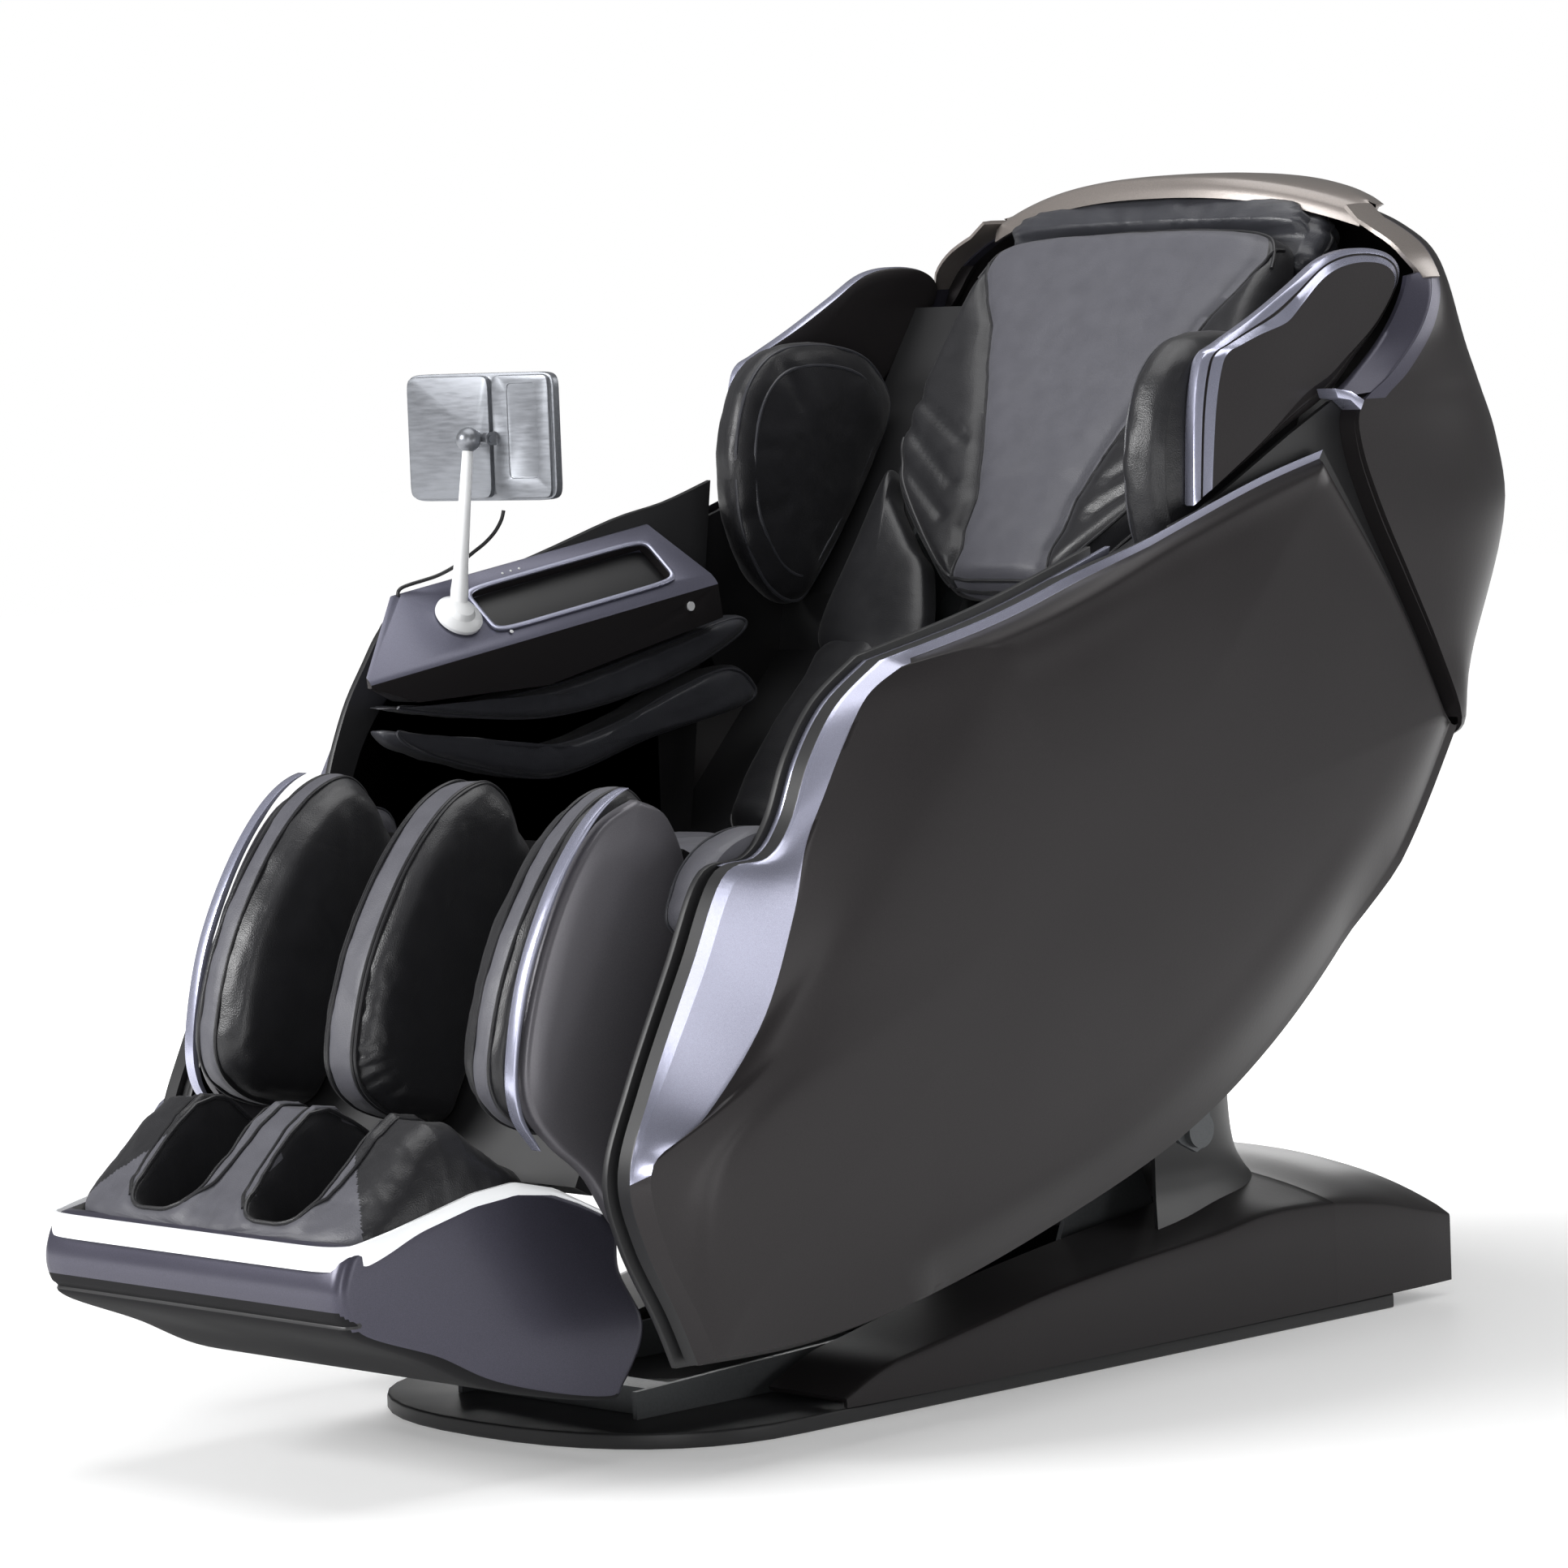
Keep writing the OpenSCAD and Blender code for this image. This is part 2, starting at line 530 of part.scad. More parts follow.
// Height, front edge, rear edge and half width of the rear shell
rear_levels = [[590, 668, 728, 290, 1.8], [616, 655, 736, 342, 1.8], [642, 640, 742, 380, 1.8],
               [720, 600, 816, 385, 2.2], [800, 553, 856, 387, 2.8], [870, 512, 872, 388, 3.2],
               [935, 484, 866, 387, 3.2], [978, 486, 850, 385, 3.1], [1012, 540, 828, 383, 2.8],
               [1056, 596, 800, 377, 2.4], [1100, 630, 780, 364, 2.1], [1140, 640, 772, 340, 2],
               [1168, 642, 766, 296, 2], [1186, 645, 757, 250, 2]];
module rear_shell() {
  skin([for (s = rear_levels) wall_ring(s, s[4], shell_wall, 25)], "strip");
  left_and_right() edge_bar([for (i = [2 : 11]) [rear_levels[i][1], rear_levels[i][0]]], [800, 850],
    wall_out + seat_gap, 368, 0, 6);
  left_and_right() edge_bar([for (i = [2 : 8]) [rear_levels[i][1], rear_levels[i][0]]], [800, 850],
    366, 385 - shell_wall + weld, 0, 6);
}
module hood() {
  half = 270;
  skin([for (i = [-8 : 8]) let (x = half * sin(i * 90 / 8) * 0.998, q = abs(x / half),
    y0 = 596 + 30 * q * q, y1 = 643 + 118 * sqrt(1 - q * q), z = 1231 - 40 * pow(q, 2.4),
    out = [[y0, z - 26], [y0 + 5, z - 10], [y0 + 20, z - 2], [mix(y0, y1, 0.5) + 4, z],
           [mix(y0, y1, 0.85) + 6, z - 7], [y1 + 4, 1188]],
    w = shell_wall,
    inn = [[y1 - 2, 1188], [mix(y0, y1, 0.82), z - 8 - w], [mix(y0, y1, 0.5) + 4, z - w],
           [y0 + 20 + w, z - 3 - w], [y0 + 5 + w, z - 13], [y0 + w, z - 26]])
    [for (p = concat(out, inn)) [x, p[0], p[1]]]], "strip");
}
wall_line = [[215, 868], [262, 882], [330, 916], [400, 952], [468, 984], [520, 984], [652, 700],
             [648, 650], [600, 640], [470, 640], [340, 660], [250, 700], [222, 760]];
module back_liner() {
  left_and_right() {
    side_plate(wall_in, wall_out, wall_line);
    side_plate(side_x + plate + seat_gap, wall_in + weld, [
      up_plane(back_at, back_angle, 4, -seat_gap), up_plane(back_at, back_angle, 288, -seat_gap),
      up_plane(head_at, head_angle, 8, -seat_gap), up_plane(head_at, head_angle, 276, -seat_gap),
      up_plane(head_at, head_angle, 276, -back_wall), up_plane(head_at, head_angle, 4, -back_wall),
      up_plane(back_at, back_angle, 284, -back_wall), up_plane(back_at, back_angle, 4, -back_wall)]);
    // narrower between the wings
    side_plate(side_x + plate + seat_gap, wall_out - wing_thick - seat_gap, [
      up_plane(head_at, head_angle, 270, -seat_gap), up_plane(head_at, head_angle, 380, -seat_gap),
      up_plane(head_at, head_angle, 380, -back_wall), up_plane(head_at, head_angle, 270, -back_wall)]);
  }
}
module back_frame() {
  difference() {
    union() {
      left_and_right() {
        side_plate(side_x, side_x + plate, [
          up_plane(back_at, back_angle, 4, -seat_gap), up_plane(back_at, back_angle, 292, -seat_gap),
          up_plane(head_at, head_angle, 4, -seat_gap), up_plane(head_at, head_angle, 380, -seat_gap),
          up_plane(head_at, head_angle, 403, -14), up_plane(head_at, head_angle, 403, -34),
          up_plane(rail_at, rail_angle, 690, -30), up_plane(rail_at, rail_angle, 20, -46),
          [234, 340], [200, 312], [166, 340], [150, 440]]);
        leaning(rail_at, rail_angle) difference() {
          block([carriage_half + 2, 20, -20], [side_x + weld, 20 + rail_len, 20]);
          block([carriage_half + 1, 19, -12 - rail_gap],
                [carriage_half + 16 + rail_gap, 21 + rail_len, 12 + rail_gap]);
        }
      }
      cross_rod(recline_shaft_r + bush_wall, -frame_x + 6, frame_x - 6, recline_axis);
      side_plate(recline_rod_x - lever_half, recline_rod_x + lever_half,
        [[182, 345], [208, 260], [217, 224], [244, 231], [235, 266], [220, 352]]);
      for (y = [0, 20 + rail_len]) leaning(rail_at, rail_angle)
        block([-side_x - weld, y, -42], [side_x + weld, y + 20, -22]);
      leaning(rail_at, rail_angle) translate([118, 10, -34]) rotate([-90, 0, 0])
        cylinder(r = 8, h = rail_len + 20, $fn = 48);
    }
    cross_rod(recline_shaft_r + bush_gap, -400, 400, recline_axis);
    lever_slot(recline_axis, recline_pin, recline_reach - 2.5,
      recline_reach / cos(recline_swing / 2) + 2.5, recline_rod_x);
  }
}
wing_line = [[263, 886], [268, 973], [277, 1021], [288, 1040], [312, 1051], [369, 1077],
             [430, 1108], [483, 1135], [535, 1142], [582, 1134], [597, 1112], [568, 1070],
             [522, 1030], [476, 992], [400, 956], [330, 920]];
module wing(right) {
  mid = [420, 1040];
  on_side(right) skin([at_x(inset(wing_line, mid, 6), wall_out - wing_thick),
    at_x(wing_line, wall_out - wing_thick + 5), at_x(wing_line, wall_out - 8),
    at_x(inset(wing_line, mid, 22), wall_out), at_x(inset(wing_line, mid, 60), wall_out)]);
}
wing_pad_line = [[226, 850], [212, 905], [217, 972], [246, 1030], [300, 1058], [378, 1060],
                 [440, 1040], [470, 990], [440, 930], [400, 872], [352, 812], [312, 776],
                 [268, 794]];
module wing_pad(right) {
  on_side(right) translate([wall_out - wing_thick - seat_gap, 0, 0]) rotate([90, 0, -90])
    mirror([1, 0, 0]) cushion(closed_curve(wing_pad_line, 32), wing_pad_thick - 8, 8, undef,
      high_steps);
}
back_pad_half_line = [[60, 2], [150, 4], [222, 14], [242, 50], [248, 120], [248, 210], [246, 262],
                      [200, 290], [60, 298]];
// Shoulder of the back pad, beside the lower end of the head pad and in its frame
shoulder_line = [[88, -74], [120, 24], [158, 60], [214, 114], [234, 148], [246, 150], [248, 60],
                 [247, -60], [190, -84]];
module back_pad() {
  right_half = [for (p = back_pad_half_line) [p[0] * back_pad_half / 248, p[1]]];
  difference() {
    union() {
      leaning(back_at, back_angle)
        cushion(closed_curve(concat(right_half, mirrored(right_half)), 36), back_pad_thick - 6, 6);
      left_and_right() leaning(head_at, head_angle)
        cushion(closed_curve(shoulder_line, 24), 30, 4);
    }
    leaning(back_at, back_angle) for (s = [-1, 1])
      translate([s * 138, 150, back_pad_thick + 5]) rotate([90, 0, 0])
        cylinder(r = 8, h = 320, center = true, $fn = 16);
    leaning(head_at, head_angle) translate([0, 0, -10]) linear_extrude(100) polygon([
      for (p = closed_curve(concat(head_pad_half_line, mirrored(head_pad_half_line)), 44))
        p * (1 + 2 * seat_gap / 40)]);
  }
}
head_pad_half_line = [[56, 2], [92, 14], [150, 64], [204, 118], [228, 160], [236, 206], [236, 262],
                      [230, 340], [222, 400], [202, 438], [140, 452], [50, 455]];
module head_pad() {
  right_half = [for (p = head_pad_half_line) [p[0] * head_pad_half / 236, p[1]]];
  leaning(head_at, head_angle) difference() {
    cushion(closed_curve(concat(right_half, mirrored(right_half)), 44), head_pad_thick - 7, 7);
    for (s = [-1, 1]) for (k = [0 : 2])
      translate([s * (168 - 6 * k), 128 + 30 * k, head_pad_thick + 5]) rotate([0, 0, s * 52])
        rotate([0, 90, 0]) cylinder(r = 8, h = 92, center = true, $fn = 12);
  }
}
module head_pillow() {
  outline = [for (p = squircle(232, 62, 3, 32)) [p[0], p[1] + 452]];
  leaning(head_at, head_angle) translate([0, 0, -seat_gap]) mirror([0, 0, 1])
    cushion(outline, 62, 6);
}

// ---------- massage mechanism, in the frame of its rails ----------
carriage_at = 70;
arm_pivot_y = carriage_at + 60;
arm_pivot_z = 26;
roller_y = arm_pivot_y + 48;
roller_z = 21;
pivot_r = 6;
module massage_carriage() {
  leaning(rail_at, rail_angle) {
    difference() {
      union() {
        block([-carriage_half - 15, carriage_at, -12],
              [carriage_half + 15, carriage_at + carriage_len, 12]);
        block([-84, carriage_at + 8, -68], [84, carriage_at + 74, -11]);
        block([100, carriage_at + 8, -54], [136, carriage_at + 60, -11]);
        for (s = [-1, 1]) translate([s * 48, carriage_at + 62, -42]) rotate([-90, 0, 0])
          cylinder(r = 22, h = 66, $fn = 48);
      }
      block([-104, arm_pivot_y + 11, -13], [104, carriage_at + carriage_len + 1, 13]);
      translate([118, 0, -34]) rotate([-90, 0, 0]) cylinder(r = 8 + bush_gap, h = 400, $fn = 48);
    }
    for (s = [-1, 1]) for (x = [arm_x - roller_w / 2 - 22, arm_x + roller_w / 2 + 14])
      difference() {
        block([min(s * x, s * (x + 8)), arm_pivot_y - 14, 11],
              [max(s * x, s * (x + 8)), arm_pivot_y + 14, arm_pivot_z + 10]);
      }
    for (s = [-1, 1]) translate([s * arm_x - roller_w / 2 - 16, arm_pivot_y, arm_pivot_z])
      rotate([0, 90, 0]) cylinder(r = pivot_r, h = roller_w + 32, $fn = 48);
  }
}
module kneading_arm(right) {
  s = right ? -1 : 1;
  in = roller_w / 2 + 1.5;
  leaning(rail_at, rail_angle) translate([s * arm_x, 0, 0]) difference() {
    union() {
      for (x = [-in - 6, in]) hull() {
        translate([x, arm_pivot_y, arm_pivot_z]) rotate([0, 90, 0]) cylinder(r = 11, h = 6, $fn = 32);
        translate([x, roller_y, roller_z]) rotate([0, 90, 0]) cylinder(r = 9, h = 6, $fn = 32);
      }
      translate([-in - 3, arm_pivot_y, arm_pivot_z]) rotate([0, 90, 0])
        cylinder(r = 11, h = 2 * in + 6, $fn = 48);
      translate([-in - 3, roller_y, roller_z]) rotate([0, 90, 0])
        cylinder(r = 5, h = 2 * in + 6, $fn = 48);
    }
    translate([-60, arm_pivot_y, arm_pivot_z]) rotate([0, 90, 0])
      cylinder(r = pivot_r + bush_gap, h = 120, $fn = 48);
  }
}
module roller(right) {
  s = right ? -1 : 1;
  half = roller_w / 2;
  leaning(rail_at, rail_angle) translate([s * arm_x, roller_y, roller_z]) rotate([0, 90, 0])
    rotate_extrude($fn = 48) polygon([[5 + bush_gap, -half], [roller_r - 8, -half],
      [roller_r - 2, -half * 0.7], [roller_r, -half * 0.3], [roller_r, half * 0.3],
      [roller_r - 2, half * 0.7], [roller_r - 8, half], [5 + bush_gap, half]]);
}

// ---------- leg rest ----------
leg_at = [-385, 540];
leg_angle = 63;
leg_back = 24;
guide_x = 150;
guide_z = -38;
pad_half = leg_half - cover_thick - seat_gap;
function leg_point(y, z) = up_plane(leg_at, leg_angle, y, z);
module calf_frame() {
  difference() {
    union() {
      leaning(leg_at, leg_angle) {
        block([-pad_half, -296, -leg_back], [pad_half, 52, -seat_gap]);
        for (s = [-1, 1]) translate([s * guide_x, -286, guide_z]) rotate([-90, 0, 0])
          cylinder(r = guide_r + 8, h = 140, $fn = 48);
      }
      cross_rod(leg_shaft_r + bush_wall + 1, -frame_x + 6, frame_x - 6, leg_axis);
      side_plate(leg_rod_x - lever_half, leg_rod_x + lever_half,
        [[-364, 515], [-322, 416], [-292, 429], [-337, 528]]);
    }
    cross_rod(leg_shaft_r + bush_gap, -400, 400, leg_axis);
    leaning(leg_at, leg_angle) for (s = [-1, 1]) translate([s * guide_x, -300, guide_z])
      rotate([-90, 0, 0]) cylinder(r = guide_r + bush_gap, h = 170, $fn = 48);
    lever_slot(leg_axis, leg_pin, leg_reach - 2.5, leg_reach / cos(leg_swing / 2) + 2.5, leg_rod_x);
  }
}
// Front outline of a leg pad from its top, down round its front to the foot rest
pad_front = [[-388, 604], [-402, 636], [-430, 650], [-478, 630], [-533, 574], [-582, 492],
             [-607, 412], [-604, 372], [-580, 345], [-540, 328], [-503, 322]];
pad_back = [[-503, 322], [-462, 396], [-424, 470], [-388, 540], [-372, 576], [-388, 604]];
pad_loop = concat(curve(pad_front, 22), [for (p = curve(pad_back, 10)) [p[0] + 1.7, p[1] - 0.9]]);
pad_mid = [-475, 480];
module calf_pad(right) {
  on_side(right) translate([pad_half, 0, 0]) rotate([90, 0, -90]) mirror([1, 0, 0])
    cushion(pad_loop, outer_pad_w - 8, 8, pad_mid);
}
module calf_pad_centre() {
  h = centre_pad_half;
  skin([for (s = [[-1, 0.5], [-0.97, 0.8], [-0.8, 0.94], [-0.35, 1], [0.35, 1], [0.8, 0.94],
                  [0.97, 0.8], [1, 0.5]])
    at_x(shrink(pad_loop, pad_mid, s[1]), s[0] * h)]);
}
cover_line = [[-428, 640], [-478, 618], [-526, 562], [-566, 484], [-588, 404], [-582, 356],
              [-552, 320], [-512, 286], [-478, 236], [-446, 206], [-416, 208], [-402, 280],
              [-392, 380], [-388, 470], [-374, 520], [-370, 572], [-392, 622]];
module calf_cover(right) {
  outline = concat(curve(concat(cover_line, [cover_line[0]]), 34));
  mid = [-480, 430];
  on_side(right) skin([at_x(outline, leg_half - cover_thick), at_x(outline, leg_half - 7),
    at_x(inset(outline, mid, 6), leg_half - 2), at_x(inset(outline, mid, 30), leg_half)]);
}
trim_line = [[-392, 644], [-440, 652], [-488, 628], [-538, 570], [-580, 490], [-601, 406],
             [-598, 356], [-574, 322], [-560, 306]];
module calf_trims() {
  left_and_right() edge_bar(whole_curve(trim_line, 18), [-480, 470], pad_half + seat_gap,
    leg_half - 3, -1, 6);
}

// ---------- foot rest ----------
foot_side = [[-788, 253], [-800, 243], [-810, 215], [-806, 190], [-788, 168], [-706, 134],
             [-619, 94], [-481, 63], [-452, 75], [-424, 128], [-452, 186], [-462, 238], [-540, 276],
             [-590, 288], [-641, 284], [-740, 262]];
foot_mid = 608;
foot_reach = 203;
module foot_body(grow) {
  line = inset(foot_side, [-640, 190], -grow);
  half = foot_half + grow;
  intersection() {
    side_plate(-half, half, line);
    translate([0, 0, 40]) linear_extrude(300) polygon([
      for (p = squircle(half, foot_reach + grow, 13, 64)) [p[0], p[1] - foot_mid]]);
  }
}
module foot_housing() {
  difference() {
    foot_body(0);
    foot_body(-foot_wall);
    // open top under the foot pad and behind it
    block([-foot_half + foot_wall + 6, -780, 200], [foot_half - foot_wall - 6, -400, 400]);
    // groove between the bumper and the sole
    side_plate(-400, 400, [[-840, 186], [-790, 168], [-790, 173], [-840, 191]]);
  }
}
strip_line = [[-788, 253], [-740, 262], [-641, 284], [-590, 288], [-540, 276], [-470, 242]];
module foot_light_strip() {
  half = foot_half + 2;
  difference() {
    intersection() {
      side_plate(-half, half, concat([for (p = strip_line) [p[0], p[1] + 2]], [[-465, 216]],
        [for (i = [5 : -1 : 0]) strip_line[i] - [0, strip_h]], [[-818, 222], [-818, 244]]));
      translate([0, 0, 40]) linear_extrude(300) polygon([
        for (p = squircle(half, foot_reach + 2, 13, 64)) [p[0], p[1] - foot_mid]]);
    }
    intersection() {
      side_plate(-foot_half - seat_gap, foot_half + seat_gap, [[-812, 40], [-400, 40],
        [-400, 400], [-812, 400]]);
      translate([0, 0, 40]) linear_extrude(300) polygon([
        for (p = squircle(foot_half + seat_gap, foot_reach + seat_gap, 13, 64))
          [p[0], p[1] - foot_mid]]);
    }
  }
}
pad_heights = [[-800, 264], [-786, 272], [-772, 290], [-750, 320], [-704, 362], [-675, 370],
               [-640, 352], [-610, 322], [-580, 304], [-540, 296]];
rim_heights = [[-810, 247], [-788, 253], [-740, 262.6], [-641, 285.6], [-590, 288], [-540, 276]];
well_in = 38;
well_w = 96;
foot_pad_mid = 664;
module foot_pad() {
  half = foot_half - 3;
  outline = squircle(half, 122, 6, 44);
  // share of the outline, share of the rise from the rim, and drop below the rim
  levels = [[0.9, 0, 70], [0.92, 0, 8], [0.93, 0, -1.2], [0.985, 0, -1.2], [1, 0.22, 0],
            [0.985, 0.55, 0], [0.95, 0.8, 0], [0.9, 0.94, 0], [0.75, 1, 0], [0.4, 1, 0]];
  difference() {
    skin([for (s = levels) [for (p = outline) let (q = [p[0] * s[0], p[1] * s[0] - foot_pad_mid],
      rim = lookup(q[1], rim_heights))
      [q[0], q[1], s[2] > 60 ? 176 : mix(rim - s[2], lookup(q[1], pad_heights), s[1])]]]);
    for (s = [-1, 1]) translate([s * (well_in + well_w / 2), -foot_pad_mid - 4, 205])
      linear_extrude(300) polygon([for (p = squircle(well_w / 2, 90, 4, 28)) p]);
  }
}
module foot_slide() {
  leaning(leg_at, leg_angle) for (s = [-1, 1]) {
    translate([s * guide_x, -420, guide_z]) rotate([-90, 0, 0])
      cylinder(r = guide_r, h = 310, $fn = 48);
    block([s * guide_x - 14, -424, guide_z - 12], [s * guide_x + 14, -380, guide_z + 12]);
  }
  leaning(leg_at, leg_angle) block([-guide_x, -420, guide_z - 10], [guide_x, -392, guide_z + 4]);
  // feet that stand on the housing's floor
  floor_line = inset([[-619, 94], [-481, 63]], [-640, 190], foot_wall);
  for (x = [-148, 138]) side_plate(x, x + 10, concat(
    [for (y = [-566, -520]) [y, mix(floor_line[0][1], floor_line[1][1],
      (y - floor_line[0][0]) / (floor_line[1][0] - floor_line[0][0])) + 2 * seat_gap]],
    [[-520, 165], [-545, 170]]));
}

// ---------- base ----------
module base_pan() {
  front = [for (i = [0 : 20]) let (a = 180 + 180 * i / 20)
    [262 * power(cos(a), 0.85), -250 + 206 * power(sin(a), 0.85)]];
  difference() {
    linear_extrude(pan_thick) polygon(concat(front, [[base_half - 6, 100], [base_half - 3, 628],
      [3 - base_half, 628], [6 - base_half, 100]]));
    left_and_right() block([wheel_x - wheel_w / 2 - 6, 640 - wheel_r - 8, -1],
      [wheel_x + wheel_w / 2 + 6, 640, pan_thick + 1]);
  }
}
// Place along the base, edge height, crown height and half width of the base cover
cover_levels = [[-196, 26, 27, -12], [-142, 50, 51, -8], [-84, 62, 64, -4], [0, 78, 81, 0],
                [94, 94, 98, 0], [220, 108, 118, 0], [343, 119, 135, 0], [430, 130, 150, 0],
                [538, 127, 160, 0], [610, 117, 162, -1], [680, 101, 154, -3], [728, 90, 140, -6]];
function arch(s, off) = let (b = base_half + s[3] - off) [for (i = [-9 : 9])
  let (t = sin(i * 10)) [-b * t, s[1] - off + (s[2] - s[1]) * (1 - pow(abs(t), 2.4))]];
cover_foot = pan_thick + seat_gap;
// Underside of an arch, from right to left, never lower than the cover's foot
function under_arch(s, w) = let (line = arch(s, w))
  [for (i = [18 : -1 : 0]) [line[i][0], max(line[i][1], cover_foot + 1)]];
module base_cover() {
  difference() {
    union() {
      skin([for (s = cover_levels) let (b = base_half + s[3], w = base_wall)
        [for (p = concat([[b, cover_foot]], arch(s, 0), [[-b, cover_foot], [w - b, cover_foot]],
                         under_arch(s, w), [[b - w, cover_foot]])) [p[0], s[0], p[1]]]], "strip");
      translate([0, 727, 0]) rotate([90, 0, 0]) linear_extrude(base_wall) polygon(concat(
        [[base_half - 8, cover_foot]], arch(cover_levels[11], 1), [[8 - base_half, cover_foot]]));
    }
    block([-150, -260, 18], [150, 520, 300]);
    block([inlet_x - 31, 700, 39], [inlet_x + 31, 740, 77]);
  }
  difference() {
    skin([for (s = [[96, 300, 640, 232], [130, 318, 606, 214], [160, 334, 570, 198],
                    [200, 345, 552, 188], [290, 345, 548, 184]]) wall_ring(s, 3, base_wall, 21)],
      "strip");
    translate([-400, 262, 200]) rotate([16.6, 0, 0]) cube([800, 500, 200]);
  }
}
bracket_x = 128;
wheel_x = 190;
axle_r = 6;
module base_frame() {
  difference() {
    union() {
      left_and_right() {
        side_plate(bracket_x, bracket_x + plate, [[-360, cover_foot], [-360, 44], [60, 60],
          [240, 84], [306, 236], [318, 252], [342, 252], [354, 236], [420, 84], [600, 60],
          [655, 50], [655, 22], [600, cover_foot]]);
        cross_rod(tilt_shaft_r + bush_wall, bracket_x - 6, bracket_x + plate + 6, tilt_axis);
      }
      for (y = [-340, 120, 560]) block([-bracket_x - weld, y, cover_foot],
        [bracket_x + weld, y + 36, 44]);
      block([tilt_rod_x - 30, -60, cover_foot], [tilt_rod_x + 30, 20, tilt_pin[1] - 172 - seat_gap]);
      block([-bracket_x - weld, -60, cover_foot], [tilt_rod_x, 20, 22]);
    }
  }
  cross_rod(tilt_shaft_r, -frame_x - plate - 8, frame_x + plate + 8, tilt_axis);
  cross_rod(axle_r, -wheel_x - wheel_w / 2 - 4, wheel_x + wheel_w / 2 + 4, [640, wheel_r + wheel_lift]);
}
module wheel(right) {
  s = right ? -1 : 1;
  translate([s * wheel_x, 640, wheel_r + wheel_lift]) rotate([0, 90, 0])
    rotate_extrude($fn = 64) polygon([[axle_r + bush_gap, -wheel_w / 2 + 2],
      [wheel_r - 9, -wheel_w / 2 + 2], [wheel_r - 8, -wheel_w / 2], [wheel_r - 3, -wheel_w / 2],
      [wheel_r, -wheel_w / 2 + 4], [wheel_r, wheel_w / 2 - 4], [wheel_r - 3, wheel_w / 2],
      [wheel_r - 8, wheel_w / 2], [wheel_r - 9, wheel_w / 2 - 2],
      [axle_r + bush_gap, wheel_w / 2 - 2]]);
}
inlet_x = -160;
module power_inlet() {
  difference() {
    union() {
      block([inlet_x - 34, 727.3, 36], [inlet_x + 34, 731, 80]);
      block([inlet_x - 30.5, 690, 39.5], [inlet_x + 30.5, 728, 76.5]);
    }
    block([inlet_x - 27, 706, 45], [inlet_x - 1, 740, 71]);
    block([inlet_x + 5, 712, 46], [inlet_x + 27, 740, 70]);
  }
  for (x = [-20, -14, -8]) block([inlet_x + x - 1, 700, 55], [inlet_x + x + 1, 724, 61]);
}
module power_switch() {
  translate([inlet_x + 16, 724, 58]) rotate([0, 90, 0]) translate([0, 0, -10.5])
    linear_extrude(21) polygon([[-11, 0], [-10.4, 5.6], [0, 7], [10.4, 4.4], [11, -1], [6, -8],
      [-6, -8]]);
}
module tilt_actuator() {
  actuator(tilt_pin, tilt_rod_x, 0, 84, 54);
}
module tilt_rod() {
  push_rod(tilt_pin, tilt_rod_x, 0, 132);
}
module recline_actuator() {
  actuator(recline_pin, recline_rod_x, -90, 90, 90);
}
module recline_rod() {
  push_rod(recline_pin, recline_rod_x, -90, 124);
}
module leg_actuator() {
  mirror([0, 0, 1]) actuator([leg_pin[0], -leg_pin[1]], leg_rod_x, 90, 100, 120);
}
module leg_rod() {
  push_rod(leg_pin, leg_rod_x, 90, 210);
}

// ---------- tablet, its stand and its cable ----------
flange_x = 46;
flange_y = 157;
// Point on the right armrest, from its sloping top's inner front corner
function arm_point(x, y, z) = let (u = x * cos(arm_lean) - z * sin(arm_lean),
    w = x * sin(arm_lean) + z * cos(arm_lean))
  [-arm_in - u, arm_foot[0] + y * cos(arm_slope) - w * sin(arm_slope),
   arm_foot[1] + y * sin(arm_slope) + w * cos(arm_slope)];
stand_at = arm_point(flange_x, flange_y, 0);
stand_lean = 7.6;
post_len = post_h / cos(stand_lean);
ball_at = stand_at + [0, post_len * sin(stand_lean), post_h];
neck_len = 5;
hinge_r = 3.5;
tablet_turn = 6.6;
tablet_shift = [-10.5, 1.5];
module tablet_stand() {
  mirror([1, 0, 0]) arm_top() translate([flange_x, flange_y, seat_gap]) rotate_extrude($fn = 64)
    polygon([[0, 0], [26, 0], [26, 4], [22, 7], [16, 9], [12, 15], [0, 17]]);
  difference() {
    translate(stand_at) rotate([-stand_lean, 0, 0]) rotate_extrude($fn = 64)
      polygon([[0, 12], [9, 12.5], [9.5, 28], [8, 44], [5.5, post_len], [0, post_len]]);
    translate(ball_at) sphere(ball_r + seat_gap, $fn = 64);
  }
}
// Frame at the ball joint: Y runs from the ball to the tablet's back
module tablet_frame() {
  translate(ball_at) rotate([0, 0, tablet_turn]) children();
}
hinge_y = ball_r + neck_len;
module tablet_ball() {
  tablet_frame() {
    sphere(ball_r, $fn = 64);
    rotate([-90, 0, 0]) cylinder(r = 5.5, h = hinge_y, $fn = 48);
    translate([-7, hinge_y, 0]) rotate([0, 90, 0]) cylinder(r = 5.8, h = 14, $fn = 48);
    translate([-16, hinge_y, 0]) rotate([0, 90, 0]) cylinder(r = hinge_r, h = 32, $fn = 48);
  }
}
tablet_y = hinge_y + 8;
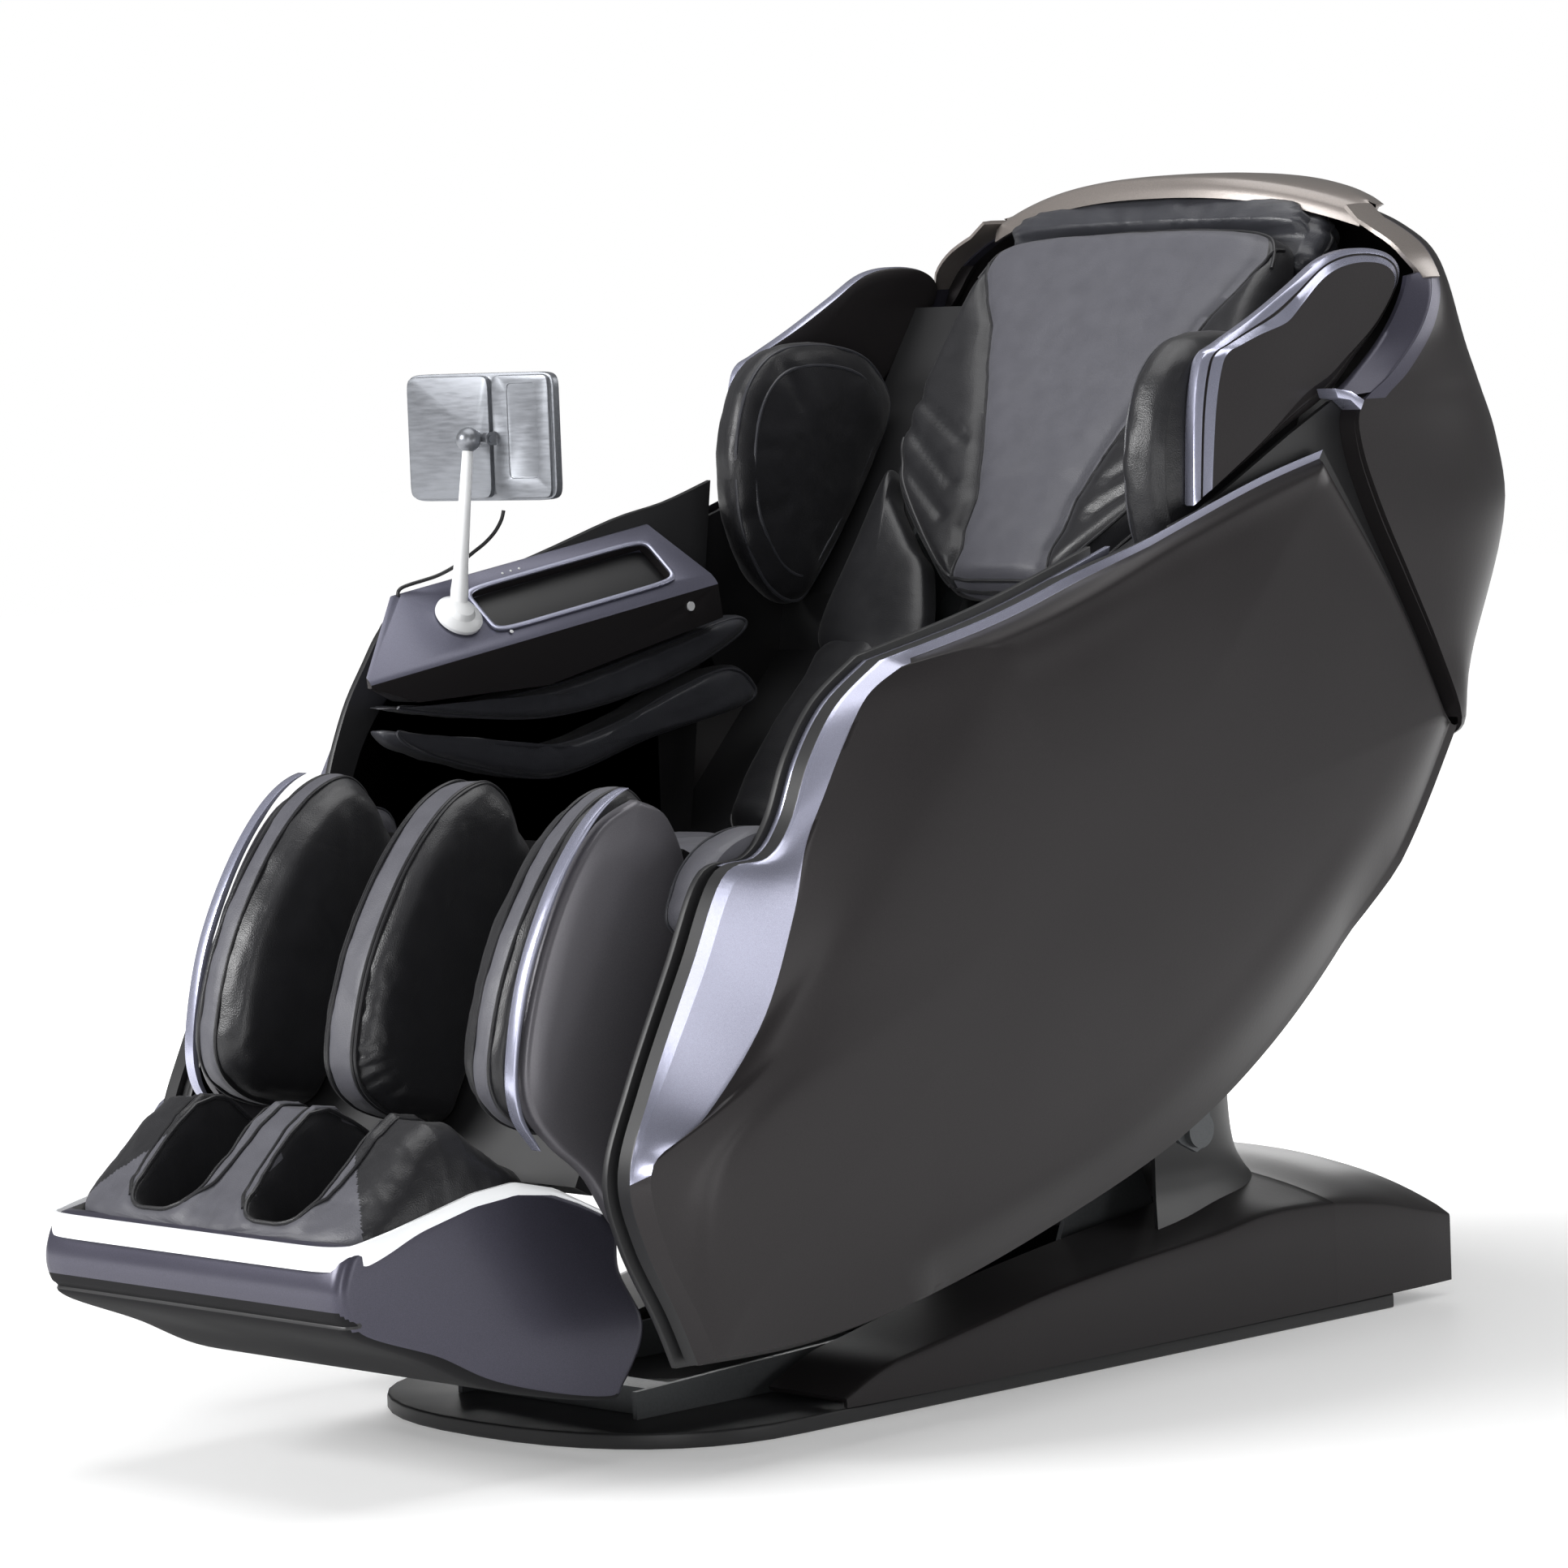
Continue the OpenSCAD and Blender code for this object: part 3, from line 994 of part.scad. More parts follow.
// How far the tablet's thinner block stands behind its thicker one
back_step = 2;
module tablet_slab(w, h, e, at, y0, y1) {
  translate([at[0], y1, at[1]]) rotate([90, 0, 0]) linear_extrude(y1 - y0)
    polygon(squircle(w / 2, h / 2, e, 48));
}
module tablet() {
  back = tablet_t * 0.4;
  tablet_frame() {
    difference() {
      union() {
        tablet_slab(tablet_w, tablet_h, 14, tablet_shift, tablet_y + back, tablet_y + tablet_t);
        tablet_slab(tablet_w * 0.56, tablet_h - 6, 14, tablet_shift - [tablet_w * 0.2, 0], tablet_y,
          tablet_y + back + weld);
        tablet_slab(tablet_w * 0.38, tablet_h - 6, 14, tablet_shift + [tablet_w * 0.29, 0],
          tablet_y + back_step, tablet_y + back + weld);
      }
      tablet_slab(tablet_w - 18, tablet_h - 18, 20, tablet_shift, tablet_y + tablet_t - 1,
        tablet_y + tablet_t + 1);
      // place of a plate on the back, left bare
      tablet_slab(tablet_w * 0.2, tablet_h * 0.74, 12, tablet_shift + [tablet_w * 0.3, 6],
        tablet_y - 1, tablet_y + 3);
    }
    for (x = [-15, 8]) difference() {
      union() {
        translate([x, hinge_y, 0]) rotate([0, 90, 0]) cylinder(r = 7, h = 7, $fn = 48);
        block([x, hinge_y, -7], [x + 7, tablet_y + back_step + weld, 7]);
      }
      translate([x - 1, hinge_y, 0]) rotate([0, 90, 0]) cylinder(r = hinge_r + bush_gap, h = 9, $fn = 48);
    }
  }
}
cable_route = [[-268, -131, 902], [-269, -134, 892], [-272, -141, 880], [-277, -151, 869],
               [-283, -162, 860], [-290, -172, 851], [-297, -184, 843], [-303, -197, 837],
               [-309, -211, 833], [-313, -224, 830], [-315.6, -234, 827], [-316, -238.6, 824],
               [-316, -240, 821], [-316, -240, 818.6]];
cable_exit = [316, -240, 817];
module tube_along(route, r, n, sides) {
  path = whole_curve(route, n);
  skin([for (i = [0 : n - 1])
    let (t = path[min(i + 1, n - 1)] - path[max(i - 1, 0)], f = t / norm(t),
         u = cross(f, [1, 0, 0]) / norm(cross(f, [1, 0, 0])), v = cross(f, u))
    [for (k = [0 : sides - 1]) path[i] + r * (u * cos(360 * k / sides) + v * sin(360 * k / sides))]]);
}
module tablet_cable() {
  tube_along(cable_route, cable_d / 2, 30, 8);
}
// Key in the inner side of the right armrest, in the armrest's own frame
key_y = 455;
key_z = -20;
key_r = 5;
key_gap = 0.3;
key_depth = 6;
key_travel = 1;
module quick_key() {
  mirror([1, 0, 0]) translate([0, arm_foot[0], arm_foot[1]]) rotate([arm_slope, 0, 0])
    translate([arm_in - key_travel - 0.5, key_y, key_z]) rotate([0, 90, 0])
      cylinder(r = key_r, h = key_depth - key_travel + 0.2, $fn = 48);
}

// Every node by name, in its own colour
color("#17171a") base_pan();
color("#2c2c31") base_cover();
color("#77797c") base_frame();
color("#151517") power_inlet();
color("#1b1b1d") power_switch();
color("#1d1d1f") wheel(false);  // wheel_left
color("#1d1d1f") wheel(true);  // wheel_right
color("#33353a") tilt_actuator();
color("#b9bcc0") tilt_rod();
color("#55575b") seat_frame();
color("#55565b") seat_cushion();
color("#3b3a3f") side_panel(false);  // side_panel_left
color("#3b3a3f") side_panel(true);  // side_panel_right
color("#a9abc0") panel_rims();
color("#141416") inner_liner(false);  // inner_liner_left
color("#141416") inner_liner(true);  // inner_liner_right
color("#5b5c6c") armrest(false);  // armrest_left
color("#5b5c6c") armrest(true);  // armrest_right
color("#26272b") arm_pad(false);  // arm_pad_left
color("#26272b") arm_pad(true);  // arm_pad_right
color("#1c1d20") arm_cuff(false);  // arm_cuff_left
color("#1c1d20") arm_cuff(true);  // arm_cuff_right
color("#4a4b50") arm_front_pads();
color("#2e2d31") lower_shell();
color("#d4d6da") tablet_stand();
color("#a9abae") tablet_ball();
color("#b4b6ba") tablet();
color("#101012") tablet_cable();
color("#c8cace") quick_key();
color("#33353a") recline_actuator();
color("#b9bcc0") recline_rod();
color("#33353a") leg_actuator();
color("#b9bcc0") leg_rod();
color("#55575b") back_frame();
color("#37363b") rear_shell();
color("#8d8682") hood();
color("#131315") back_liner();
color("#33333a") wing(false);  // wing_left
color("#33333a") wing(true);  // wing_right
color("#1a1a1d") wing_pad(false);  // wing_pad_left
color("#1a1a1d") wing_pad(true);  // wing_pad_right
color("#2b2c31") back_pad();
color("#5a5b60") head_pad();
color("#3a3b40") head_pillow();
color("#3d3f44") massage_carriage();
color("#c2c4c8") kneading_arm(false);  // kneading_arm_left
color("#c2c4c8") kneading_arm(true);  // kneading_arm_right
color("#2a2a2d") roller(false);  // roller_left
color("#2a2a2d") roller(true);  // roller_right
color("#18181a") calf_frame();
color("#2d2c31") calf_cover(false);  // calf_cover_left
color("#2d2c31") calf_cover(true);  // calf_cover_right
color("#a0a3b8") calf_trims();
color("#232428") calf_pad(false);  // calf_pad_left
color("#3a3b3f") calf_pad_centre();
color("#232428") calf_pad(true);  // calf_pad_right
color("#9a9da1") foot_slide();
color("#4d4d5c") foot_housing();
color("#f2f4f6") foot_light_strip();
color("#4c4d51") foot_pad();
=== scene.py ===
"""A reclining massage chair: upholstery, mouldings, finishes, light and camera over its fixed frame."""

import logging
import math
from dataclasses import dataclass
from enum import Enum
from typing import Callable, Optional, Sequence

import bmesh
import bpy
import numpy as np
from mathutils import Matrix, Vector, noise
from mathutils.bvhtree import BVHTree


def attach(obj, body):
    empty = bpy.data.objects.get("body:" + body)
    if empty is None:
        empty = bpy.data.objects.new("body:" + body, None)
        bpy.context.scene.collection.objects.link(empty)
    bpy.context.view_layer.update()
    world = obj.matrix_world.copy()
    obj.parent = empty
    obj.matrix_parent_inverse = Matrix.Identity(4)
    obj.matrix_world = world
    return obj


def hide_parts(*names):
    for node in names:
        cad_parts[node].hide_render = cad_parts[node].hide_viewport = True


MM = 0.001
log = logging.getLogger("massage_chair")
Row = np.ndarray
Zone = Callable[[int, int], int]
Mesh = bmesh.types.BMesh
Thing = bpy.types.Object
Socket = bpy.types.NodeSocket
CRISP_EDGE = 38.0
SOFT_EDGE = 80.0
PIPE_SIDES = 8
UP = Vector((0, 0, 1))
NOISE = "ShaderNodeTexNoise"


class Side(Enum):
    """Sitter's side of the chair."""

    LEFT = 1
    RIGHT = -1

    @property
    def label(self) -> str:
        """The side as the names of nodes and pieces have it."""
        return self.name.lower()


# ---------------------------------------------------------------- lines


def spline(points: Sequence, count: int, whole: bool = False, closed: bool = False) -> Row:
    """Smooth curve through points.

    Args:
        points: the points it passes through.
        count: how many points it returns.
        whole: whether an open curve keeps its last point.
        closed: whether the curve runs back to its first point.

    Returns:
        The curve's points, one per row.
    """
    pts = np.asarray(points, float)
    if closed:
        padded = np.vstack([pts[-1:], pts, pts[:2]])
        u = np.arange(count) * len(pts) / count
        last = len(pts) - 1
    else:
        padded = np.vstack([pts[:1], pts, pts[-1:]])
        last = len(pts) - 2
        u = np.arange(count) * (len(pts) - 1) / (count - 1 if whole else count)
    k = np.minimum(u.astype(int), last)
    t = (u - k)[:, None]
    a, b, c, d = (padded[k + i] for i in range(4))
    return 0.5 * (2 * b + (c - a) * t + (2 * a - 5 * b + 4 * c - d) * t**2 + (3 * b - a - 3 * c + d) * t**3)


def squircle(a: float, b: float, e: float, count: int) -> Row:
    """Rounded-rectangle loop of half sizes a and b, squarer as e grows.

    Args:
        a: half size along x.
        b: half size along y.
        e: how square it is, 2 for an ellipse.
        count: how many points it has.

    Returns:
        The loop's points, one per row.
    """
    w = np.arange(count) * math.tau / count
    x, y = np.cos(w), np.sin(w)
    return np.stack([a * np.sign(x) * abs(x) ** (2 / e), b * np.sign(y) * abs(y) ** (2 / e)], 1)


def round_back(w: float, y0: float, y1: float, e: float, count: int) -> Row:
    """Plan line that runs round the back from the left side to the right one.

    Args:
        w: half width.
        y0: where it starts and ends.
        y1: its rearmost place.
        e: how square it is, 2 for an ellipse.
        count: how many points it has.

    Returns:
        The line's points, one per row.
    """
    t = np.linspace(0, 2, count)
    a = math.pi / 2 * np.where(t < 1, t, 2 - t) ** (e / 2)
    a = np.where(t < 1, a, math.pi - a)
    x = w * np.sign(np.cos(a)) * abs(np.cos(a)) ** (2 / e)
    return np.stack([x, y0 + (y1 - y0) * np.clip(np.sin(a), 0, 1) ** (2 / e)], 1)


def inset(points: Row, centre: Sequence[float], by: float) -> Row:
    """Points moved towards a centre by a length, or away from it where the length is negative."""
    away = np.asarray(centre, float) - points
    return points + away * (by / np.linalg.norm(away, axis=1, keepdims=True))


def shrink(points: Row, centre: Sequence[float], share: float) -> Row:
    """Points drawn in to a share of their distance from a centre."""
    return np.asarray(centre, float) + (points - np.asarray(centre, float)) * share


def at_x(points: Row, x: float | Row) -> Row:
    """Points of the Y-Z plane as points in space."""
    return np.column_stack([np.broadcast_to(x, len(points)), points])


def at_height(line: Row, z: float) -> Row:
    """Points of a plane as points in space, all at one height over it."""
    return np.column_stack([line, np.full(len(line), z)])


def on_wall(points: Row, x: float) -> Row:
    """Points of a pad's own plane, laid on a wall at x and facing inwards."""
    return np.column_stack([x - points[:, 2], points[:, 0], points[:, 1]])


def returned(line: Row) -> Row:
    """Line that ends on its own first point."""
    return np.vstack([line, line[:1]])


def mix(a: float | Row, b: float | Row, t: float | Row) -> float | Row:
    """Value between a and b."""
    return a + (b - a) * t


def smooth(t: float | Row) -> float | Row:
    """Soft step from 0 to 1."""
    t = np.clip(t, 0, 1)
    return t * t * (3 - 2 * t)


def lookup(x: float | Row, table: Sequence) -> float | Row:
    """Straight-line lookup in a rising table of pairs."""
    pts = np.asarray(table, float)
    return np.interp(x, pts[:, 0], pts[:, 1])


def distance_to(points: Row, line: Row) -> Row:
    """Shortest distance of each point to a polyline, in the same number of axes.

    Args:
        points: the points, one per row.
        line: the polyline's points, one per row.

    Returns:
        One distance per point.
    """
    best = np.full(len(points), 1e9)
    for a, b in zip(line[:-1], line[1:]):
        d = b - a
        t = np.clip((points - a) @ d / max(d @ d, 1e-9), 0, 1)
        best = np.minimum(best, np.linalg.norm(points - a - t[:, None] * d, axis=1))
    return best


@dataclass(frozen=True)
class LeaningPlane:
    """Plane that leans back: its y runs up it and its z faces the sitter."""

    y: float
    z: float
    degrees: float

    def place(self, points: Sequence) -> Row:
        """World places of points given in the plane's own frame.

        Args:
            points: x across the plane, y up it, and height over it.

        Returns:
            The places, in the same order.
        """
        c, s = math.cos(math.radians(self.degrees)), math.sin(math.radians(self.degrees))
        p = np.asarray(points, float)
        return np.stack([p[..., 0], self.y + p[..., 1] * c - p[..., 2] * s,
                         self.z + p[..., 1] * s + p[..., 2] * c], -1)

    @property
    def out(self) -> Vector:
        """Direction that faces the sitter."""
        a = math.radians(self.degrees)
        return Vector((0, -math.sin(a), math.cos(a)))


BACK = LeaningPlane(145, 514, 46.5)
HEAD = LeaningPlane(350, 778, 56.6)


# ---------------------------------------------------------------- meshes


def to_object(mesh: Mesh, name: str, sharp: float = CRISP_EDGE) -> Thing:
    """Turns a finished mesh into an object, smooth but for its sharp edges.

    Args:
        mesh: the finished mesh; it is freed.
        name: the piece's name.
        sharp: angle in degrees past which an edge stays crisp.

    Returns:
        The new object, at the origin.
    """
    for face in mesh.faces:
        face.smooth = True
    limit = math.radians(sharp)
    for edge in mesh.edges:
        edge.smooth = not (len(edge.link_faces) == 2 and edge.calc_face_angle(0.0) > limit)
    data = bpy.data.meshes.new(name)
    mesh.to_mesh(data)
    mesh.free()
    obj = bpy.data.objects.new(name, data)
    bpy.context.scene.collection.objects.link(obj)
    return obj


def surface(rows: Sequence[Row], wrap: bool = True, closed: bool = True,
            zone: Optional[Zone] = None) -> Mesh:
    """Grid whose rows of vertices are laid on rows of points.

    Args:
        rows: rows of points in millimetres, each of the same length.
        wrap: whether each row closes on itself.
        closed: whether open ends are filled.
        zone: finish number of the face at a row and column.

    Returns:
        The mesh, with its faces outward where it is closed.
    """
    pts = np.asarray(rows, float) * MM
    m, n = pts.shape[:2]
    columns = n + 1 if wrap else n
    mesh = bmesh.new()
    bmesh.ops.create_grid(mesh, x_segments=columns - 1, y_segments=m - 1, size=1)
    mesh.verts.ensure_lookup_table()
    mesh.faces.ensure_lookup_table()
    for k, vert in enumerate(mesh.verts):
        vert.co = pts[k // columns, (k % columns) % n]
    if zone:
        for k, face in enumerate(mesh.faces):
            face.material_index = zone(k // (columns - 1), k % (columns - 1))
    bmesh.ops.remove_doubles(mesh, verts=mesh.verts[:], dist=1e-6)
    bmesh.ops.dissolve_degenerate(mesh, edges=mesh.edges[:], dist=1e-7)
    if closed:
        bmesh.ops.holes_fill(mesh, edges=[e for e in mesh.edges if e.is_boundary], sides=0)
    bmesh.ops.recalc_face_normals(mesh, faces=mesh.faces[:])
    return mesh


def walled(rows: Sequence[Row], wall: float, zone: Optional[Zone] = None) -> Mesh:
    """Open surface over rows, given a wall that grows to its inner side.

    Args:
        rows: rows of points in millimetres, their outside facing away from the middle.
        wall: the wall in millimetres.
        zone: finish number of the face at a row and column.

    Returns:
        The closed, walled mesh.
    """
    mesh = surface(rows, wrap=False, closed=False, zone=zone)
    middle = sum((v.co for v in mesh.verts), Vector()) / len(mesh.verts)
    facing = sum(f.normal.dot(f.calc_center_median() - middle) * f.calc_area() for f in mesh.faces)
    if facing < 0:
        bmesh.ops.reverse_faces(mesh, faces=mesh.faces[:])
    bmesh.ops.solidify(mesh, geom=mesh.faces[:], thickness=wall * MM)
    bmesh.ops.recalc_face_normals(mesh, faces=mesh.faces[:])
    return mesh


def bevelled(mesh: Mesh, edges: list, by: float, segments: int = 2) -> Mesh:
    """Rounds some of a mesh's edges.

    Args:
        mesh: the mesh to change.
        edges: the edges.
        by: radius in millimetres.
        segments: faces across each rounded edge.

    Returns:
        The same mesh.
    """
    bmesh.ops.bevel(mesh, geom=edges, offset=by * MM, segments=segments, profile=0.5,
                    affect="EDGES", material=-1, clamp_overlap=True)
    return mesh


def made_corners(grown: dict) -> list[bmesh.types.BMVert]:
    """Vertices among what a mesh operator made."""
    return [v for v in grown["geom"] if isinstance(v, bmesh.types.BMVert)]


def plate(outline: Row, x0: float, x1: float, round_by: float = 1.0) -> Mesh:
    """Flat plate with rounded edges whose outline lies in the Y-Z plane, between x0 and x1.

    Args:
        outline: its outline, as rows of y and z.
        x0: where it starts.
        x1: where it ends.
        round_by: radius of its edges.

    Returns:
        The closed plate.
    """
    mesh = bmesh.new()
    face = mesh.faces.new([mesh.verts.new((x0 * MM, y * MM, z * MM)) for y, z in outline])
    grown = bmesh.ops.extrude_face_region(mesh, geom=[face])
    bmesh.ops.translate(mesh, verts=made_corners(grown), vec=((x1 - x0) * MM, 0, 0))
    bmesh.ops.recalc_face_normals(mesh, faces=mesh.faces[:])
    rim = [e for e in mesh.edges if any(len(f.verts) > 4 for f in e.link_faces)]
    return bevelled(mesh, rim, round_by)


def bar(outer: Sequence, inner: Sequence, x0: float, x1: float, round_by: float = 0.8) -> Mesh:
    """Bar of rectangular section between two lines of the Y-Z plane, with rounded edges.

    Args:
        outer: its outer line, as rows of y and z.
        inner: its inner line, with as many points.
        x0: where it starts.
        x1: where it ends.
        round_by: radius of its edges.

    Returns:
        The closed bar.
    """
    rows = [[(x0, *o), (x1, *o), (x1, *i), (x0, *i)] for o, i in zip(outer, inner)]
    mesh = surface(rows)
    edges = [e for e in mesh.edges if e.calc_face_angle(0.0) > 0.9]
    return bevelled(mesh, edges, round_by)


def tube(path: Row, radius: float | Row, sides: int = 10) -> Mesh:
    """Round tube along a path, closed at both ends or, where the path returns, on itself.

    Args:
        path: its middle line, in millimetres.
        radius: its radius, or one for each point.
        sides: faces round it.

    Returns:
        The closed tube.
    """
    path = np.asarray(path, float)
    closed = np.linalg.norm(path[0] - path[-1]) < 0.01
    if closed:
        path = path[:-1]
        ahead = np.roll(path, -1, 0) - np.roll(path, 1, 0)
    else:
        ahead = np.gradient(path, axis=0)
    ahead /= np.linalg.norm(ahead, axis=1, keepdims=True)
    up = np.cross(ahead[0], [0.31, 0.93, 0.17])
    radii = np.broadcast_to(radius, len(path))
    rows = []
    for p, f, r in zip(path, ahead, radii):
        up = up - f * (up @ f)
        up /= np.linalg.norm(up)
        side = np.cross(f, up)
        turn = np.arange(sides) * math.tau / sides
        rows.append(p + r * (np.outer(np.cos(turn), up) + np.outer(np.sin(turn), side)))
    if closed:
        rows.append(rows[0])
        return surface(rows, closed=False)
    return surface(rows)


def merged(parts: Sequence[Mesh]) -> Mesh:
    """Several meshes as one; the parts are freed.

    Args:
        parts: the meshes.

    Returns:
        The one mesh.
    """
    whole = bmesh.new()
    for part in parts:
        data = bpy.data.meshes.new("part")
        part.to_mesh(data)
        part.free()
        whole.from_mesh(data)
        bpy.data.meshes.remove(data)
    return whole


def copied(node: str, round_by: float, segments: int = 2) -> Mesh:
    """Copy of a hard node with its edges rounded.

    Args:
        node: name of the node.
        round_by: radius of the edges in millimetres.
        segments: faces across each rounded edge.

    Returns:
        The copy, merged and bevelled.
    """
    mesh = bmesh.new()
    mesh.from_mesh(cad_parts[node].data)
    bmesh.ops.remove_doubles(mesh, verts=mesh.verts[:], dist=1e-5)
    bmesh.ops.dissolve_limit(mesh, angle_limit=math.radians(1.5), verts=mesh.verts[:],
                             edges=mesh.edges[:], use_dissolve_boundaries=False)
    edges = [e for e in mesh.edges if len(e.link_faces) == 2 and e.calc_face_angle(0.0) > 0.45]
    return bevelled(mesh, edges, round_by, segments)


def flipped(mesh: Mesh, side: Side) -> Mesh:
    """The mesh, mirrored to the right where that is its side.

    Args:
        mesh: the mesh, made for the left.
        side: the side that it is for.

    Returns:
        The same mesh.
    """
    if side is Side.RIGHT:
        bmesh.ops.scale(mesh, verts=mesh.verts[:], vec=(-1, 1, 1))
        bmesh.ops.reverse_faces(mesh, faces=mesh.faces[:])
    return mesh


def both(make: Callable[[], Mesh]) -> list[Mesh]:
    """The mesh that a function makes, once for each side."""
    return [flipped(make(), side) for side in Side]


def pressed(mesh: Mesh, line: Sequence, width: float, depth: float, out: Vector) -> None:
    """Presses a groove along a line into the side of a mesh that faces a direction.

    Args:
        mesh: the mesh to change.
        line: the groove's line, as points in space.
        width: distance at which the groove has risen to a third.
        depth: depth of the groove; a ridge where it is negative.
        out: direction that the grooved side faces.
    """
    o, line = np.array(out), np.asarray(line, float)
    pts = np.array([v.co for v in mesh.verts]) / MM
    away = distance_to(pts - np.outer(pts @ o, o), line - np.outer(line @ o, o))
    drop = depth * np.exp(-((away / width) ** 2)) * MM
    mesh.normal_update()
    for vert, fall in zip(mesh.verts, drop):
        face = smooth((vert.normal.dot(out) - 0.05) / 0.35)
        if fall and face > 0:
            vert.co -= out * float(fall * face)


def rumpled(mesh: Mesh, amount: float, size: float, seed: float = 0.0) -> None:
    """Moves a mesh's vertices in and out by soft noise, as stuffed leather lies.

    Args:
        mesh: the mesh to change.
        amount: how far its vertices move, in millimetres.
        size: size of the folds, in millimetres.
        seed: where in the noise it lies.
    """
    mesh.normal_update()
    shift = Vector((seed, -seed, 2 * seed))
    moves = [v.normal * noise.fractal(v.co / (size * MM) + shift, 1.0, 2.0, 3) * amount * MM
             for v in mesh.verts]
    for vert, move in zip(mesh.verts, moves):
        vert.co += move


def laid(line: Row, mesh: Mesh, out: Vector, lift: float) -> Row:
    """Line dropped on a mesh against a direction, and lifted off it.

    Args:
        line: points in space, in millimetres.
        mesh: the mesh that it lies on.
        out: direction that the mesh's side faces.
        lift: how far it stands off the surface.

    Returns:
        The points that met the mesh.
    """
    tree = BVHTree.FromBMesh(mesh)
    found = []
    for p in np.asarray(line, float):
        hit, normal, _, _ = tree.ray_cast(Vector(p * MM) + out * 0.3, -out, 0.6)
        if hit is not None:
            found.append(np.array(hit + normal * lift * MM) / MM)
    return np.array(found)


def sewn(mesh: Mesh, lines: Sequence[Row], out: Vector, radius: float, lift: float) -> list[Mesh]:
    """Pipings sewn along lines of a pad, but for lines that miss it.

    Args:
        mesh: the pad.
        lines: the lines, as points in space.
        out: direction that the pad's side faces.
        radius: radius of the pipings.
        lift: how far their middles stand off the pad.

    Returns:
        One tube for each line that meets the pad.
    """
    paths = [laid(line, mesh, out, lift) for line in lines]
    return [tube(path, radius, PIPE_SIDES) for path in paths if len(path) > 3]


# ---------------------------------------------------------------- finishes


class Nodes:
    """Small helper that lays a material's nodes."""

    def __init__(self, name: str) -> None:
        """Starts a material with its shader and its object coordinates.

        Args:
            name: the material's name.
        """
        self.material = bpy.data.materials.new(name)
        self.material.use_nodes = True
        self.tree = self.material.node_tree
        self.shader = self.tree.nodes["Principled BSDF"]
        self.coords = self.tree.nodes.new("ShaderNodeTexCoord").outputs["Object"]

    def texture(self, kind: str, scale: float, stretch: Sequence[float] = (1, 1, 1),
                **values: float) -> Socket:
        """Adds a texture on object coordinates and returns its value or distance.

        Args:
            kind: type name of the texture's node.
            scale: its scale.
            stretch: scale of the coordinates along each axis.
            values: its other sockets.

        Returns:
            The value or distance.
        """
        node = self.tree.nodes.new(kind)
        source = self.coords
        if tuple(stretch) != (1, 1, 1):
            mapping = self.tree.nodes.new("ShaderNodeMapping")
            mapping.inputs["Scale"].default_value = stretch
            self.tree.links.new(source, mapping.inputs["Vector"])
            source = mapping.outputs["Vector"]
        self.tree.links.new(source, node.inputs["Vector"])
        node.inputs["Scale"].default_value = scale
        for key, value in values.items():
            node.inputs[key].default_value = value
        return node.outputs["Distance" if kind.endswith("Voronoi") else 0]

    def ramp(self, source: Socket, low: float, high: float, out_low: float, out_high: float) -> Socket:
        """Maps a value from one range to another.

        Args:
            source: the value.
            low: start of its range.
            high: end of its range.
            out_low: start of the new range.
            out_high: end of the new range.

        Returns:
            The new value.
        """
        node = self.tree.nodes.new("ShaderNodeMapRange")
        for key, value in zip(("From Min", "From Max", "To Min", "To Max"), (low, high, out_low, out_high)):
            node.inputs[key].default_value = value
        self.tree.links.new(source, node.inputs["Value"])
        return node.outputs["Result"]

    def blend(self, share: Socket, a: Sequence[float], b: Sequence[float]) -> Socket:
        """Mixes two colours by a value.

        Args:
            share: share of the second colour.
            a: the first colour.
            b: the second colour.

        Returns:
            The mixed colour.
        """
        node = self.tree.nodes.new("ShaderNodeMix")
        node.data_type = "RGBA"
        node.inputs["A"].default_value = (*a, 1)
        node.inputs["B"].default_value = (*b, 1)
        self.tree.links.new(share, node.inputs["Factor"])
        return node.outputs["Result"]

    def bump(self, height: Socket, depth: float, after: Optional[Socket] = None) -> Socket:
        """Adds relief of a depth in metres, over earlier relief where there is some.

        Args:
            height: height of the relief.
            depth: its depth in metres.
            after: earlier relief.

        Returns:
            The normal.
        """
        node = self.tree.nodes.new("ShaderNodeBump")
        node.inputs["Strength"].default_value = 1.0
        node.inputs["Distance"].default_value = depth
        self.tree.links.new(height, node.inputs["Height"])
        if after is not None:
            self.tree.links.new(after, node.inputs["Normal"])
        return node.outputs["Normal"]

    def mottled(self, source: Socket, colour: Sequence[float], low: float, high: float) -> Socket:
        """Shades a colour by a texture.

        Args:
            source: the texture's value.
            colour: the colour.
            low: share of it in the dark places.
            high: share of it in the light ones.

        Returns:
            The shaded colour.
        """
        return self.blend(self.ramp(source, 0.3, 0.7, 0, 1), scaled(colour, low), scaled(colour, high))

    def set(self, **values: float) -> None:
        """Sets the shader's own sockets, with underscores for spaces."""
        for key, value in values.items():
            self.shader.inputs[key.replace("_", " ")].default_value = value

    def link(self, **sources: Socket) -> None:
        """Links sources to the shader's sockets, with underscores for spaces."""
        for key, source in sources.items():
            self.tree.links.new(source, self.shader.inputs[key.replace("_", " ")])


def scaled(colour: Sequence[float], by: float) -> tuple[float, ...]:
    """A colour made lighter or darker."""
    return tuple(min(1.0, c * by) for c in colour)


